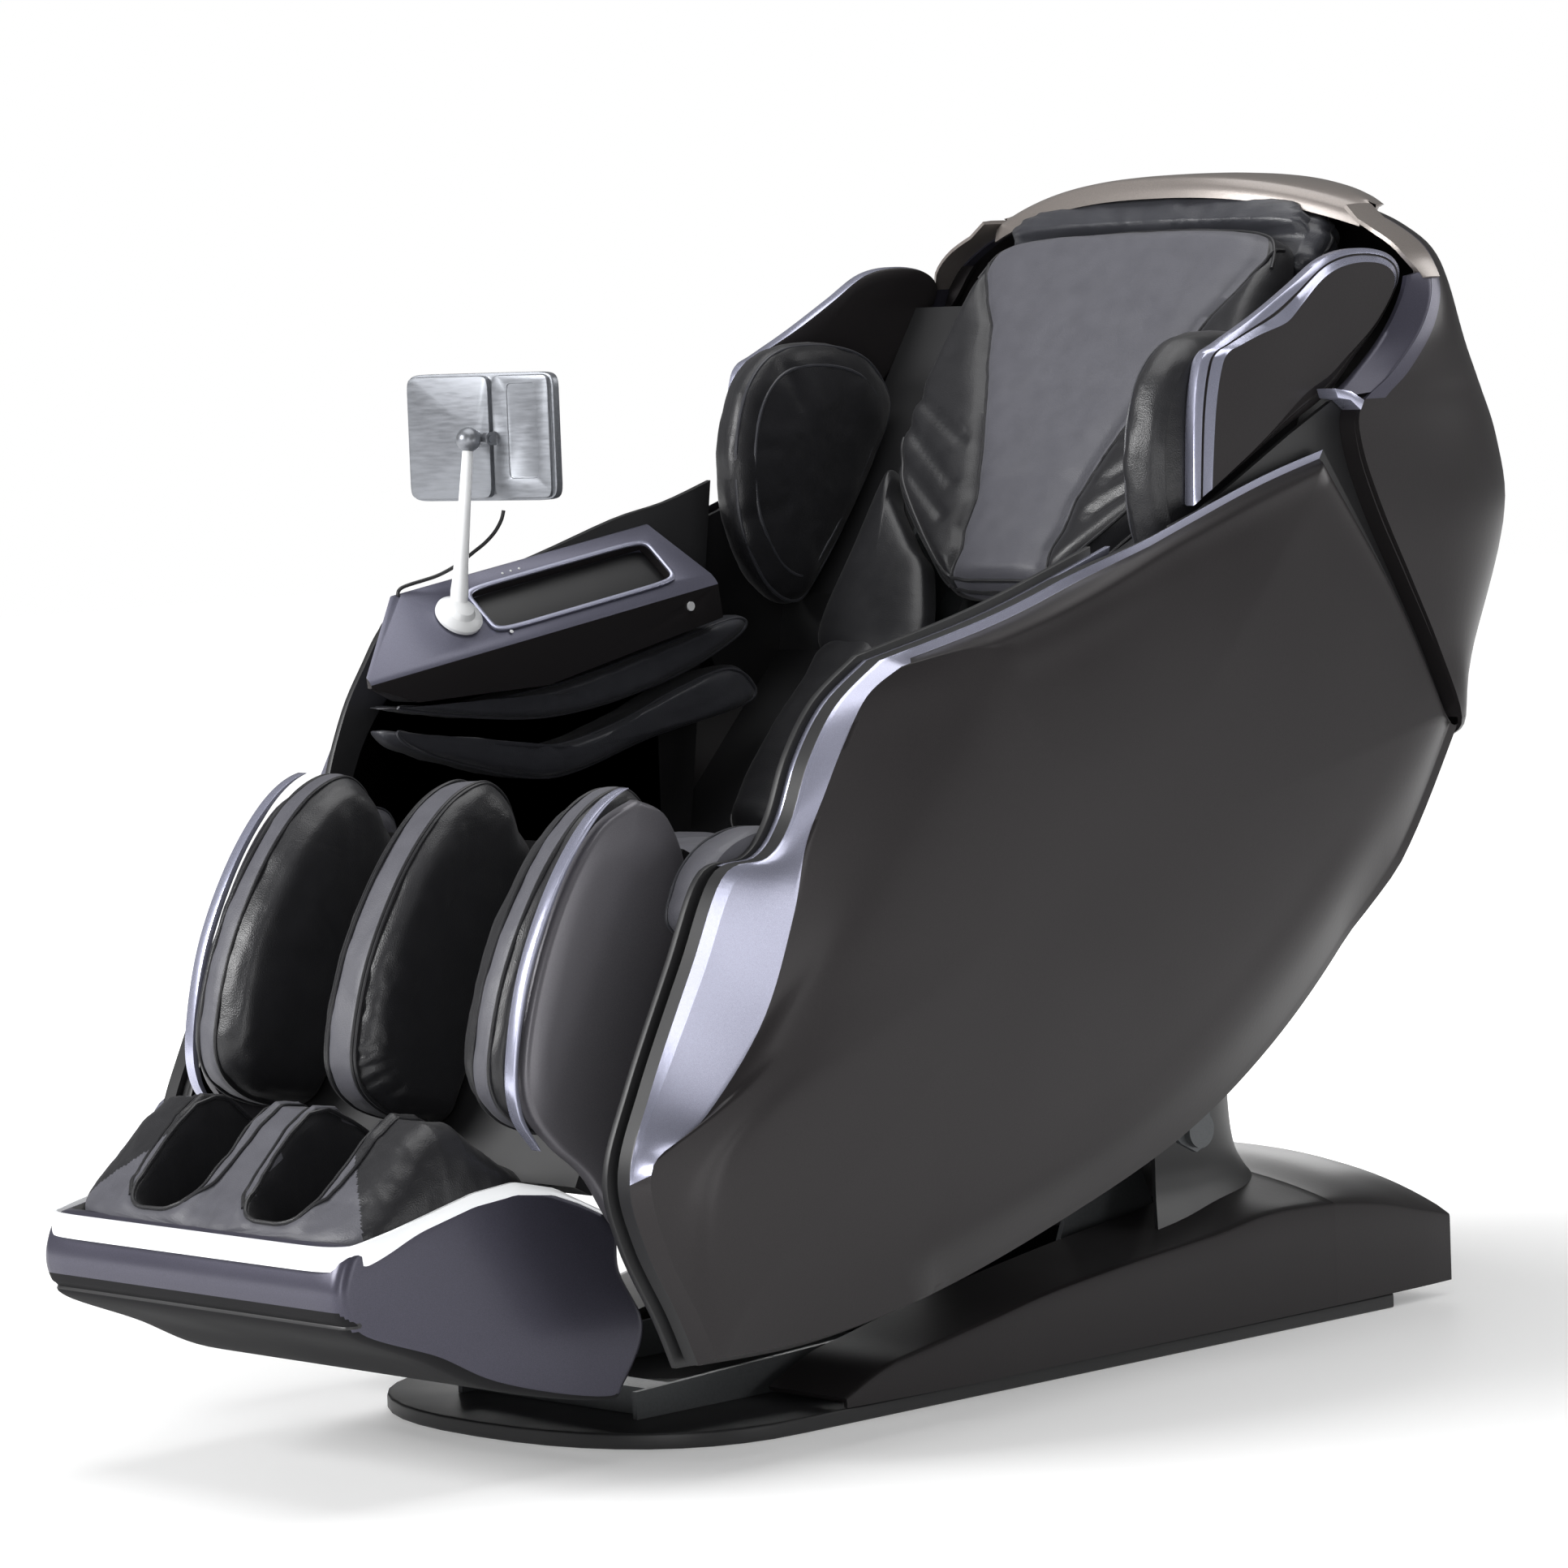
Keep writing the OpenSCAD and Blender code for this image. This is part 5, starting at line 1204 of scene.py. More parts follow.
@dataclass
class FieldPad:
    """Stuffed pad over a flat outline, as a field of heights whose columns follow its long seams."""

    half_width: tuple
    seams: tuple
    thick: float
    crown: float
    edge: float
    rows: int = 90
    flank_columns: int = 20
    middle_columns: int = 40
    puff: float = 4.0
    seam_depth: float = 7.0
    seam_width: float = 7.0

    def outline(self) -> Row:
        """Closed outline, its first point repeated."""
        right = spline(self.half_width, 120, whole=True)
        return np.vstack([right, right[::-1] * [-1, 1], right[:1]])

    def field(self) -> tuple[Row, Row, Row]:
        """Columns, rows and heights of the pad's face.

        Returns:
            The x, y and z of every point, each as rows by columns.
        """
        half = spline(self.half_width, 200, whole=True)
        order = np.argsort(half[:, 1])
        y0, y1 = half[order[0], 1], half[order[-1], 1]
        t = np.linspace(-1, 1, self.rows)
        y = y0 + (y1 - y0) * (0.5 + 0.5 * np.sign(t) * (1 - (1 - abs(t)) ** 1.35))
        wide = np.interp(y, half[order, 1], half[order, 0])
        seam = np.minimum(lookup(y, self.seams), wide * 0.93)
        out = np.linspace(1, 0, self.flank_columns, endpoint=False) ** 1.7
        across = np.linspace(0, 1, self.middle_columns // 2 + 1)
        x = []
        for w, s in zip(wide, seam):
            right = np.concatenate([s * across, s + (w - s) * (1 - out[1:]), [w]])
            x.append(np.concatenate([-right[:0:-1], right]))
        x = np.array(x)
        grid_y = np.repeat(y[:, None], x.shape[1], 1)
        flat = np.column_stack([x.ravel(), grid_y.ravel()])
        d = distance_to(flat, self.outline()).reshape(x.shape)
        r = np.clip(d / self.edge, 0, 1)
        height = self.thick * np.sqrt(np.clip(1 - (1 - r) ** 2.2, 0, 1))
        height += self.crown * smooth(d / (wide.max() * 0.9)) * r
        away = np.abs(np.abs(x) - seam[:, None])
        puff = self.puff * (1 - np.exp(-((away / 22) ** 2)))
        seam_drop = self.seam_depth * np.exp(-((away / self.seam_width) ** 2))
        return x, grid_y, height + (puff - seam_drop) * smooth(r * 1.2)

    def mesh(self, plane: Callable[[Row], Row], split: bool) -> Mesh:
        """The closed pad, set on its plane.

        Args:
            plane: turns points of the pad's frame into points in space.
            split: whether the flanks outside the seams take the second finish.

        Returns:
            The pad's mesh.
        """
        x, y, z = self.field()
        rows = plane(np.stack([x, y, z], -1))
        first, last = self.flank_columns, x.shape[1] - 1 - self.flank_columns
        return surface(rows, wrap=False, zone=lambda r, c: int(split and not first <= c < last))

    def seam_line(self, sign: int, low: float = 0.0, high: float = 1.0) -> Row:
        """Points along a long seam, between two shares of the pad's length.

        Args:
            sign: which of the two seams.
            low: where it starts, as a share.
            high: where it ends, as a share.

        Returns:
            The seam's points, one per row.
        """
        table = np.asarray(self.seams, float)
        y = np.linspace(table[0, 0], table[-1, 0], 90)
        y = y[int(low * 89):int(high * 89) + 1]
        return np.column_stack([sign * lookup(y, self.seams), y, np.zeros(len(y))])


@dataclass
class SeatCushion:
    """The seat cushion with its sewn middle panel."""

    half: float = 238
    deep: float = 170
    centre_y: float = -98
    bottom: float = 490.3
    thick: float = 58
    seam_x: float = 120

    def build(self) -> None:
        """Builds the cushion, its double seams and its edge piping."""
        w = np.linspace(-math.pi / 2, math.pi / 2, 60)
        e = 4.5
        half = tuple((self.half * max(math.cos(a), 0) ** (2 / e),
                      self.deep * math.copysign(abs(math.sin(a)) ** (2 / e), a)) for a in w)
        form = FieldPad(half_width=half, seams=((-170, self.seam_x), (170, self.seam_x)), thick=self.thick,
                        crown=8, edge=34, rows=80, puff=3.5, seam_depth=6, seam_width=6)

        def seat_plane(p: Row) -> Row:
            """Lays the cushion on the seat."""
            return np.stack([p[..., 0], p[..., 1] + self.centre_y, p[..., 2] + self.bottom], -1)

        mesh = form.mesh(seat_plane, split=False)
        for x in (-60, 0, 60):
            pressed(mesh, [[x, self.centre_y - 60, 560], [x, self.centre_y + 60, 560]], 26, -1.5, UP)
        rumpled(mesh, 2.2, 60, 4.0)
        seams = [seat_plane(form.seam_line(sign, 0.03, 0.97)) + [shift, 0, 0]
                 for sign in (-1, 1) for shift in (-4, 4)]
        ring = returned(at_height(squircle(self.half * 0.985, self.deep * 0.985, e, 140), 36.0))
        pipes = [*sewn(mesh, seams, UP, 1.3, 0.2), tube(seat_plane(ring), 2.0, PIPE_SIDES)]
        piece(merged(pipes), "seat_cushion_piping", "seat", Finish.DARK_LEATHER)
        upholstered(mesh, "seat_cushion", "seat", Finish.GREY_LEATHER, padding=0.75)


@dataclass
class BackPads:
    """The lower back pad with its shoulders, the head pad, and the pillow behind it."""

    seam_x: float = 138
    back_half: tuple = ((30, 1), (60, 2), (150, 4), (222, 14), (242, 50), (248, 120), (248, 210), (246, 262),
                        (200, 290), (60, 298), (30, 298.5))
    shoulder: tuple = ((88, -74), (120, 24), (158, 60), (214, 114), (234, 148), (246, 150), (248, 60),
                       (247, -60), (190, -84))
    head_half: tuple = ((30, 1), (56, 2), (92, 14), (150, 64), (204, 118), (228, 160), (236, 206), (236, 262),
                        (230, 340), (222, 400), (202, 438), (140, 452), (50, 455), (25, 455.5))
    head_seam: tuple = ((0, 64), (11, 70), (45, 66), (70, 74), (105, 74), (165, 93), (177, 98), (240, 122),
                        (291, 146), (330, 160), (359, 181), (403, 206), (440, 214), (456, 214))
    channels: tuple = (((252, 256), (122, 177)), ((254, 225), (114, 125)), ((248, 183), (110, 85)),
                       ((218, 110), (84, 14)))

    def lower(self) -> None:
        """Builds the lower back pad."""
        form = FieldPad(half_width=self.back_half, seams=((0, self.seam_x), (300, self.seam_x)), thick=46,
                        crown=5, edge=30, rows=76, puff=4, seam_depth=8)
        mesh = form.mesh(BACK.place, split=True)
        for y in (92, 168, 236):
            dip = BACK.place([[-112, y - 6, 50], [0, y + 8, 50], [112, y - 6, 50]])
            pressed(mesh, dip, 16, 3.0, BACK.out)
        rumpled(mesh, 2.4, 70, 7.0)
        seams = [BACK.place(form.seam_line(sign, 0.02, 0.98)) for sign in (-1, 1)]
        half = spline(self.back_half, 90, whole=True)[6:-6]
        edges = [BACK.place([[sign * x * 0.965, y, 44] for x, y in half]) for sign in (-1, 1)]
        pipes = sewn(mesh, seams, BACK.out, 2.0, 0.8) + sewn(mesh, edges, BACK.out, 2.2, 0.8)
        piece(merged(pipes), "back_pad_piping", "backrest", Finish.BLACK_LEATHER)
        shoulder = PadForm(spline(self.shoulder, 72, closed=True), 30, 4, (190, 30))
        whole = merged([mesh, *both(lambda: surface([HEAD.place(row) for row in shoulder.rows()]))])
        for face in whole.faces[mesh_faces(form):]:
            face.material_index = 1
        upholstered(whole, "back_pad", "backrest", Finish.DARK_LEATHER, Finish.BLACK_LEATHER, padding=0.75)

    def head(self) -> None:
        """Builds the head pad: grey middle, black channelled flanks, double piping at its foot."""
        form = FieldPad(half_width=self.head_half, seams=self.head_seam, thick=39, crown=6, edge=26, rows=110,
                        flank_columns=24, puff=5, seam_depth=7, seam_width=6)
        mesh = form.mesh(HEAD.place, split=True)
        for sign in (-1, 1):
            for a, b in self.channels:
                line = HEAD.place([[sign * a[0], a[1], 40], [sign * b[0], b[1], 40]])
                pressed(mesh, line, 7, 5.0, HEAD.out)
        for y, deep in ((120, 1.8), (232, 2.2), (330, 1.5)):
            pressed(mesh, HEAD.place([[-78, y, 40], [0, y + 10, 40], [78, y, 40]]), 15, deep, HEAD.out)
        rumpled(mesh, 1.1, 60, 9.0)
        seams = [HEAD.place(form.seam_line(sign, 0.02, 0.97)) for sign in (-1, 1)]
        half = spline(self.head_half, 160, whole=True)
        low, high = half[half[:, 1] < 175], half[half[:, 1] > 396]
        edges = [np.vstack([low[::-1] * [-share, 1], low * [share, 1]]) + [0, rise]
                 for share, rise in ((0.985, 2.5), (0.93, 8.5))]
        edges.append(np.vstack([high * [0.97, 1], high[::-1] * [-0.97, 1]]) - [0, 4])
        edges = [HEAD.place(at_height(line, 30.0)) for line in edges]
        pipes = sewn(mesh, seams, HEAD.out, 2.2, 0.8) + sewn(mesh, edges, HEAD.out, 2.0, 0.8)
        piece(merged(pipes), "head_pad_piping", "backrest", Finish.BLACK_LEATHER)
        upholstered(mesh, "head_pad", "backrest", Finish.GREY_LEATHER, Finish.BLACK_LEATHER)

    def pillow(self) -> None:
        """Builds the rolled pillow behind the head pad's top, with its gathered edge."""
        middle, count, gathers = (0, 452), 144, 26
        wave = 1 + 0.010 * np.sin(np.arange(count) * math.tau / count * gathers)
        loop = shrink(squircle(232, 62, 3, count) + middle, middle, wave[:, None])
        form = PadForm(loop, 61, 6, middle)

        def behind(row: Row) -> Row:
            """Lays a row of the pillow behind the head pad's plane."""
            return HEAD.place(np.column_stack([row[:, :2], -0.3 - row[:, 2]]))

        rows = [behind(row) for row in form.rows()]
        front = []
        for share in np.linspace(0.1, 0.92, 14):
            ring = shrink(loop, middle, share)
            free = smooth((ring[:, 1] - 456) / 10)
            front.append(HEAD.place(np.column_stack([ring, -0.3 + free * 24 * math.sqrt(1 - share**4)])))
        mesh = surface([*front, *rows])
        rumpled(mesh, 2.0, 40, 12.0)
        piping = tube(behind(form.ring(1.0, 22)), 2.3, PIPE_SIDES)
        piece(piping, "head_pillow_piping", "backrest", Finish.BLACK_LEATHER)
        upholstered(mesh, "head_pillow", "backrest", Finish.DARK_LEATHER)

    def build(self) -> None:
        """Builds the three pads."""
        self.lower()
        self.head()
        self.pillow()


def mesh_faces(form: FieldPad) -> int:
    """How many faces a field pad's own mesh has, its closing face included."""
    columns = form.middle_columns + 2 * form.flank_columns
    return (form.rows - 1) * columns + 1


# ---------------------------------------------------------------- backrest mouldings


@dataclass
class Backrest:
    """Rear shell, hood, wings and their air pads."""

    wall_out: float = 359
    wing_thick: float = 26
    levels: tuple = ((590, 668, 728, 290, 1.8), (616, 655, 736, 342, 1.8), (642, 640, 742, 380, 1.8),
                     (720, 600, 816, 385, 2.2), (800, 553, 856, 387, 2.8), (870, 512, 872, 388, 3.2),
                     (935, 484, 866, 387, 3.2), (978, 486, 850, 385, 3.1), (1012, 540, 828, 383, 2.8),
                     (1056, 596, 800, 377, 2.4), (1100, 630, 780, 364, 2.1), (1140, 640, 772, 340, 2),
                     (1168, 642, 766, 296, 2), (1186, 645, 757, 250, 2))
    wing_line: tuple = ((263, 886), (268, 973), (277, 1021), (288, 1040), (312, 1051), (369, 1077),
                        (430, 1108), (483, 1135), (535, 1142), (582, 1134), (597, 1112), (568, 1070),
                        (522, 1030), (476, 992), (400, 956), (330, 920))
    wing_pad_line: tuple = ((234, 850), (224, 905), (229, 972), (254, 1028), (300, 1058), (378, 1060),
                            (440, 1040), (470, 990), (440, 930), (400, 872), (352, 812), (312, 776),
                            (268, 794))
    hood_half: float = 270
    bright_rows: tuple = (5, 6, 7, 8, 12, 13)
    bright_columns: int = 82
    clip_top: tuple = ((444, 998), (470, 994), (490, 984))
    clip_foot: tuple = ((448, 988), (468, 985), (484, 974))

    def rear_shell(self) -> None:
        """Builds the rear shell with its lavender front edges."""
        levels = spline(self.levels, 66, whole=True)
        columns, edge = 61, 2
        rows = [at_height(round_back(w, y0, y1, e, columns), z) for z, y0, y1, w, e in levels]
        shell = walled(rows, 5, lambda r, c: int(levels[r][0] > 985 and not edge <= c < columns - 1 - edge))
        flange, strip = [], []
        for z, y0, _, w, _ in levels:
            if 642 <= z <= 1142:
                x = min(381, w - 1)
                flange.append([(x - 21.7, y0, z), (x - 1, y0, z), (x, y0 + 1.5, z), (x, y0 + 6, z),
                               (x - 21.7, y0 + 6, z)])
            if 988 < z < 1122:
                strip.append([(w - 1, y0 + 3, z), (w - 0.4, y0 - 1, z), (w - 1.6, y0 - 4, z),
                              (362, y0 - 36, z - 5), (359.6, y0 - 41, z - 6), (354, y0 - 41, z - 6),
                              (354, y0 + 3, z)])
        trims = both(lambda: surface(strip))
        piece(merged(trims), "rear_shell_trims", "backrest", Finish.LAVENDER, sharp=50)
        clips = both(lambda: bar(self.clip_top, self.clip_foot, 360, 386))
        piece(merged(clips), "rear_shell_clips", "backrest", Finish.SILVER_TRIM)
        moulded(merged([shell, *both(lambda: surface(flange))]), "rear_shell", "backrest", Finish.CHARCOAL,
                Finish.LAVENDER, sharp=45)

    def hood(self) -> None:
        """Builds the pale hood over the top of the backrest."""
        rows = []
        for a in np.linspace(-math.pi / 2, math.pi / 2, 61):
            x = self.hood_half * math.sin(a) * 0.998
            q = abs(x / self.hood_half)
            y0, y1 = 596 + 30 * q * q, 643 + 118 * math.sqrt(1 - q * q)
            z = 1231 - 40 * q**2.4
            out = spline([[y0, z - 26], [y0 + 5, z - 10], [y0 + 20, z - 2], [mix(y0, y1, 0.5) + 4, z],
                          [mix(y0, y1, 0.85) + 6, z - 7], [y1 + 4, 1188]], 22, whole=True)
            inn = spline([[y1 - 2, 1188], [mix(y0, y1, 0.82), z - 13], [mix(y0, y1, 0.5) + 4, z - 5],
                          [y0 + 25, z - 8], [y0 + 10, z - 13], [y0 + 5, z - 26]], 14, whole=True)
            rows.append(at_x(np.vstack([out, inn]), x))
        ends = [s for s in spline(self.levels, 66, whole=True) if 1108 < s[0] < 1176]
        edge = np.array([[s[3], s[0]] for s in ends] + [[268, 1188]])
        ahead = np.gradient(edge, axis=0)
        out = np.column_stack([ahead[:, 1], -ahead[:, 0]])
        out /= np.linalg.norm(out, axis=1, keepdims=True)
        reach = lookup(edge[:, 1], ((1108, 20), (1130, 34), (1160, 40), (1190, 34)))
        strip = []
        for (x, z), (nx, nz), r in zip(edge, out, reach):
            ring = [(2.0, 646), (2.4, 640), (2.4, 638 - 0.5 * r), (1.0, 641 - r), (-3, 640 - r), (-3, 646)]
            strip.append([(x + nx * o, y, z + nz * o) for o, y in ring])
        whole = merged([surface(rows), *both(lambda: surface(strip))])
        moulded(whole, "hood", "backrest", Finish.PEARL, sharp=55)

    def wing(self, side: Side) -> None:
        """Builds one wing with its doubled bright bevel.

        Args:
            side: the side that it is on.
        """
        line = spline([*self.wing_line, self.wing_line[0]], 128)
        mid = (420, 1040)
        x = self.wall_out
        back = x - self.wing_thick
        steps = ((24, back), (6, back), (2, x - 25), (0, x - 21), (0, x - 12), (2, x - 10), (8.5, x - 7),
                 (9.5, x - 7.9), (11, x - 7.9), (12, x - 6.2), (20, x - 2), (23, x), (24, x))
        deep = inset(line, mid, 24)
        shares = (0.03, 0.4, 0.75)
        rows = [at_x(shrink(deep, mid, share), back) for share in shares]
        rows += [at_x(inset(line, mid, by), place) for by, place in steps]
        rows += [at_x(shrink(deep, mid, share), x) for share in shares[::-1]]
        mesh = surface(rows, zone=lambda r, c: int(c < self.bright_columns and r in self.bright_rows))
        moulded(flipped(mesh, side), f"wing_{side.label}", "backrest", Finish.CHARCOAL, Finish.SILVER_TRIM,
                sharp=30)

    def wing_pad(self, side: Side) -> None:
        """Builds one air pad beside the head and shoulder, with its gathers and piping.

        Args:
            side: the side that it is on.
        """
        form = PadForm(spline(self.wing_pad_line, 120, closed=True), 54, 8, (335, 935), HIGH_STEPS, 34, 18)
        x = self.wall_out - self.wing_thick - 0.3
        mesh = surface(form.side_rows(x))
        inward = Vector((-1, 0, 0))
        for a, b in (((228, 872), (286, 884)), ((224, 950), (276, 948)), ((296, 1040), (318, 996))):
            pressed(mesh, [[270, *a], [270, *b]], 9, 2.2, inward)
        rumpled(mesh, 2.2, 48, 15.0)
        node = f"wing_pad_{side.label}"
        pipes = [tube(form.side_ring(x - 1.0, share, form.thick * rise), 2.1, PIPE_SIDES)
                 for share, rise in ((0.972, 0.80), (0.80, 0.985))]
        piece(flipped(merged(pipes), side), f"{node}_piping", "backrest", Finish.DARK_LEATHER)
        upholstered(flipped(mesh, side), node, "backrest", Finish.BLACK_LEATHER)

    def build(self) -> None:
        """Builds the backrest's mouldings and wings."""
        self.rear_shell()
        self.hood()
        for side in Side:
            self.wing(side)
            self.wing_pad(side)


@dataclass
class LowerShell:
    """The shell behind the seat, below the backrest."""

    half: float = 334.7
    levels: tuple = ((288, 190, 452), (330, 196, 520), (390, 212, 600), (450, 240, 662), (520, 320, 712),
                     (550, 370, 729))

    def build(self) -> None:
        """Builds the shell."""
        rows = [at_height(round_back(self.half, y0, y1, 3, 61), z)
                for z, y0, y1 in spline(self.levels, 36, whole=True)]
        moulded(walled(rows, 5), "lower_shell", "seat", Finish.CHARCOAL, sharp=45)


# ---------------------------------------------------------------- leg rest and foot rest


@dataclass
class LegRest:
    """Calf pads with their side covers and bright trims."""

    half: float = 250
    pad_half: float = 233.7
    centre_half: float = 43
    outer_width: float = 80
    front_columns: int = 88
    front: tuple = ((-388, 604), (-402, 636), (-430, 650), (-478, 630), (-533, 574), (-582, 492),
                    (-607, 412), (-604, 372), (-580, 345), (-540, 328), (-503, 322))
    back: tuple = ((-503, 322), (-462, 396), (-424, 470), (-388, 540), (-372, 576), (-388, 604))
    middle: tuple = (-475, 480)
    cover_line: tuple = ((-428, 640), (-478, 618), (-526, 562), (-566, 484), (-588, 404), (-582, 356),
                         (-552, 320), (-512, 286), (-478, 236), (-446, 206), (-416, 208), (-402, 280),
                         (-392, 380), (-388, 470), (-374, 520), (-370, 572), (-392, 622))
    trim_line: tuple = ((-392, 644), (-440, 652), (-488, 628), (-538, 570), (-580, 490), (-601, 406),
                        (-598, 356), (-574, 322), (-560, 306))

    def loop(self) -> Row:
        """Side outline shared by the three pads."""
        return np.vstack([spline(self.front, self.front_columns), spline(self.back, 40) + [1.7, -0.9]])

    def seamed(self, rows: list[Row], positions: Sequence[float]) -> Mesh:
        """Pipings round a pad at sideways places, on the pad's front only.

        Args:
            rows: the pad's rows.
            positions: the sideways places.

        Returns:
            The pipings as one mesh.
        """
        grid = np.array(rows)[np.argsort([row[0, 0] for row in rows])]
        pipes = []
        for at in positions:
            line = np.array([[np.interp(at, grid[:, 0, 0], grid[:, c, k]) for k in range(3)]
                             for c in range(2, self.front_columns - 4)])
            line[:, 0] = at
            out = line - [at, *self.middle]
            line += out / np.linalg.norm(out, axis=1, keepdims=True) * 0.7
            pipes.append(tube(line, 2.1, PIPE_SIDES))
        return merged(pipes)

    def outer_pad(self, side: Side) -> None:
        """Builds one outer pad: a grey strip between pipings, with black flanks.

        Args:
            side: the side that it is on.
        """
        steps = ((0.90, 0), (0.955, 0.06), (0.985, 0.17), (1, 0.30), (1, 0.45), (0.975, 0.62),
                 (0.93, 0.80), (0.83, 0.95), (0.5, 1))
        form = PadForm(self.loop(), 72, 8, self.middle, steps, 44, 8)
        rows = form.side_rows(self.pad_half)
        heights = [h / self.outer_width for _, h in form.profile()]
        low, high = 0.19, 0.50

        def zone(row: int, column: int) -> int:
            """Grey strip, black flanks."""
            return 0 if low <= heights[row] < high and column < self.front_columns else 1

        mesh = surface(rows, zone=zone)
        rumpled(mesh, 2.0, 46, 20.0)
        node = f"calf_pad_{side.label}"
        pipes = self.seamed(rows, [self.pad_half - self.outer_width * share - 0.5 for share in (low, high)])
        piece(flipped(pipes, side), f"{node}_piping", "leg_rest", Finish.BLACK_LEATHER)
        upholstered(flipped(mesh, side), node, "leg_rest", Finish.GREY_LEATHER, Finish.BLACK_LEATHER)

    def centre_pad(self) -> None:
        """Builds the centre pad with its doubled piping."""
        table = spline([[-1, 0.5], [-0.97, 0.78], [-0.86, 0.90], [-0.62, 0.97], [-0.3, 1], [0.3, 1],
                        [0.62, 0.97], [0.86, 0.90], [0.97, 0.78], [1, 0.5]], 61, whole=True)
        loop = self.loop()
        rows = [at_x(shrink(loop, self.middle, min(s[1], 1)), s[0] * self.centre_half) for s in table]
        strip = 0.42

        def zone(row: int, column: int) -> int:
            """Grey strip, black flanks."""
            return 0 if abs(table[row, 0]) < strip and column < self.front_columns else 1

        mesh = surface(rows, zone=zone)
        rumpled(mesh, 1.6, 40, 24.0)
        for k in range(9):
            z = 352 + 15 * k
            y = float(lookup(z, ((345, -580), (372, -604), (412, -607), (492, -582), (574, -533))))
            crease = [[19, y - 2, z], [27, y + 6, z + 5], [34 + 3 * (k % 3), y + 26, z + 12 + 3 * (k % 2)]]
            pressed(mesh, crease, 3.2, 2.4, Vector((0.55, -0.83, 0)))
        h = self.centre_half * strip
        pipes = self.seamed(rows, (-h - 4, -h, h, h + 4))
        piece(pipes, "calf_pad_centre_piping", "leg_rest", Finish.BLACK_LEATHER)
        upholstered(mesh, "calf_pad_centre", "leg_rest", Finish.GREY_LEATHER, Finish.BLACK_LEATHER)

    def cover(self, side: Side) -> None:
        """Builds one dark side cover, in a lightened copy of the charcoal shell paint: painted light.

        Args:
            side: the side that it is on.
        """
        line = spline([*self.cover_line, self.cover_line[0]], 110)
        steps = ((80, -16), (0, -16), (0, -8), (0.8, -5.5), (3, -3), (7, -1.6), (30, 0), (60, 0.2))
        mesh = surface([at_x(inset(line, (-480, 430), by), self.half + rise) for by, rise in steps])
        moulded(flipped(mesh, side), f"calf_cover_{side.label}", "leg_rest", Finish.SMOKE, sharp=50)

    def trims(self) -> None:
        """Builds the bright trims between covers and pads."""
        line = spline(self.trim_line, 118, whole=True)[15:105]
        taper = np.minimum(1, np.minimum(np.arange(90), np.arange(90)[::-1]) / 18)[:, None]
        outer = inset(line, (-480, 470), -1)
        inner = mix(outer, inset(line, (-480, 470), 6), 0.12 + 0.88 * taper)
        parts = both(lambda: bar(outer, inner, self.pad_half + 0.3, self.half - 3, 0.6))
        piece(merged(parts), "calf_trim_bars", "leg_rest", Finish.SILVER_TRIM, replaces=["calf_trims"])

    def build(self) -> None:
        """Builds the leg rest."""
        for side in Side:
            self.outer_pad(side)
            self.cover(side)
        self.centre_pad()
        self.trims()


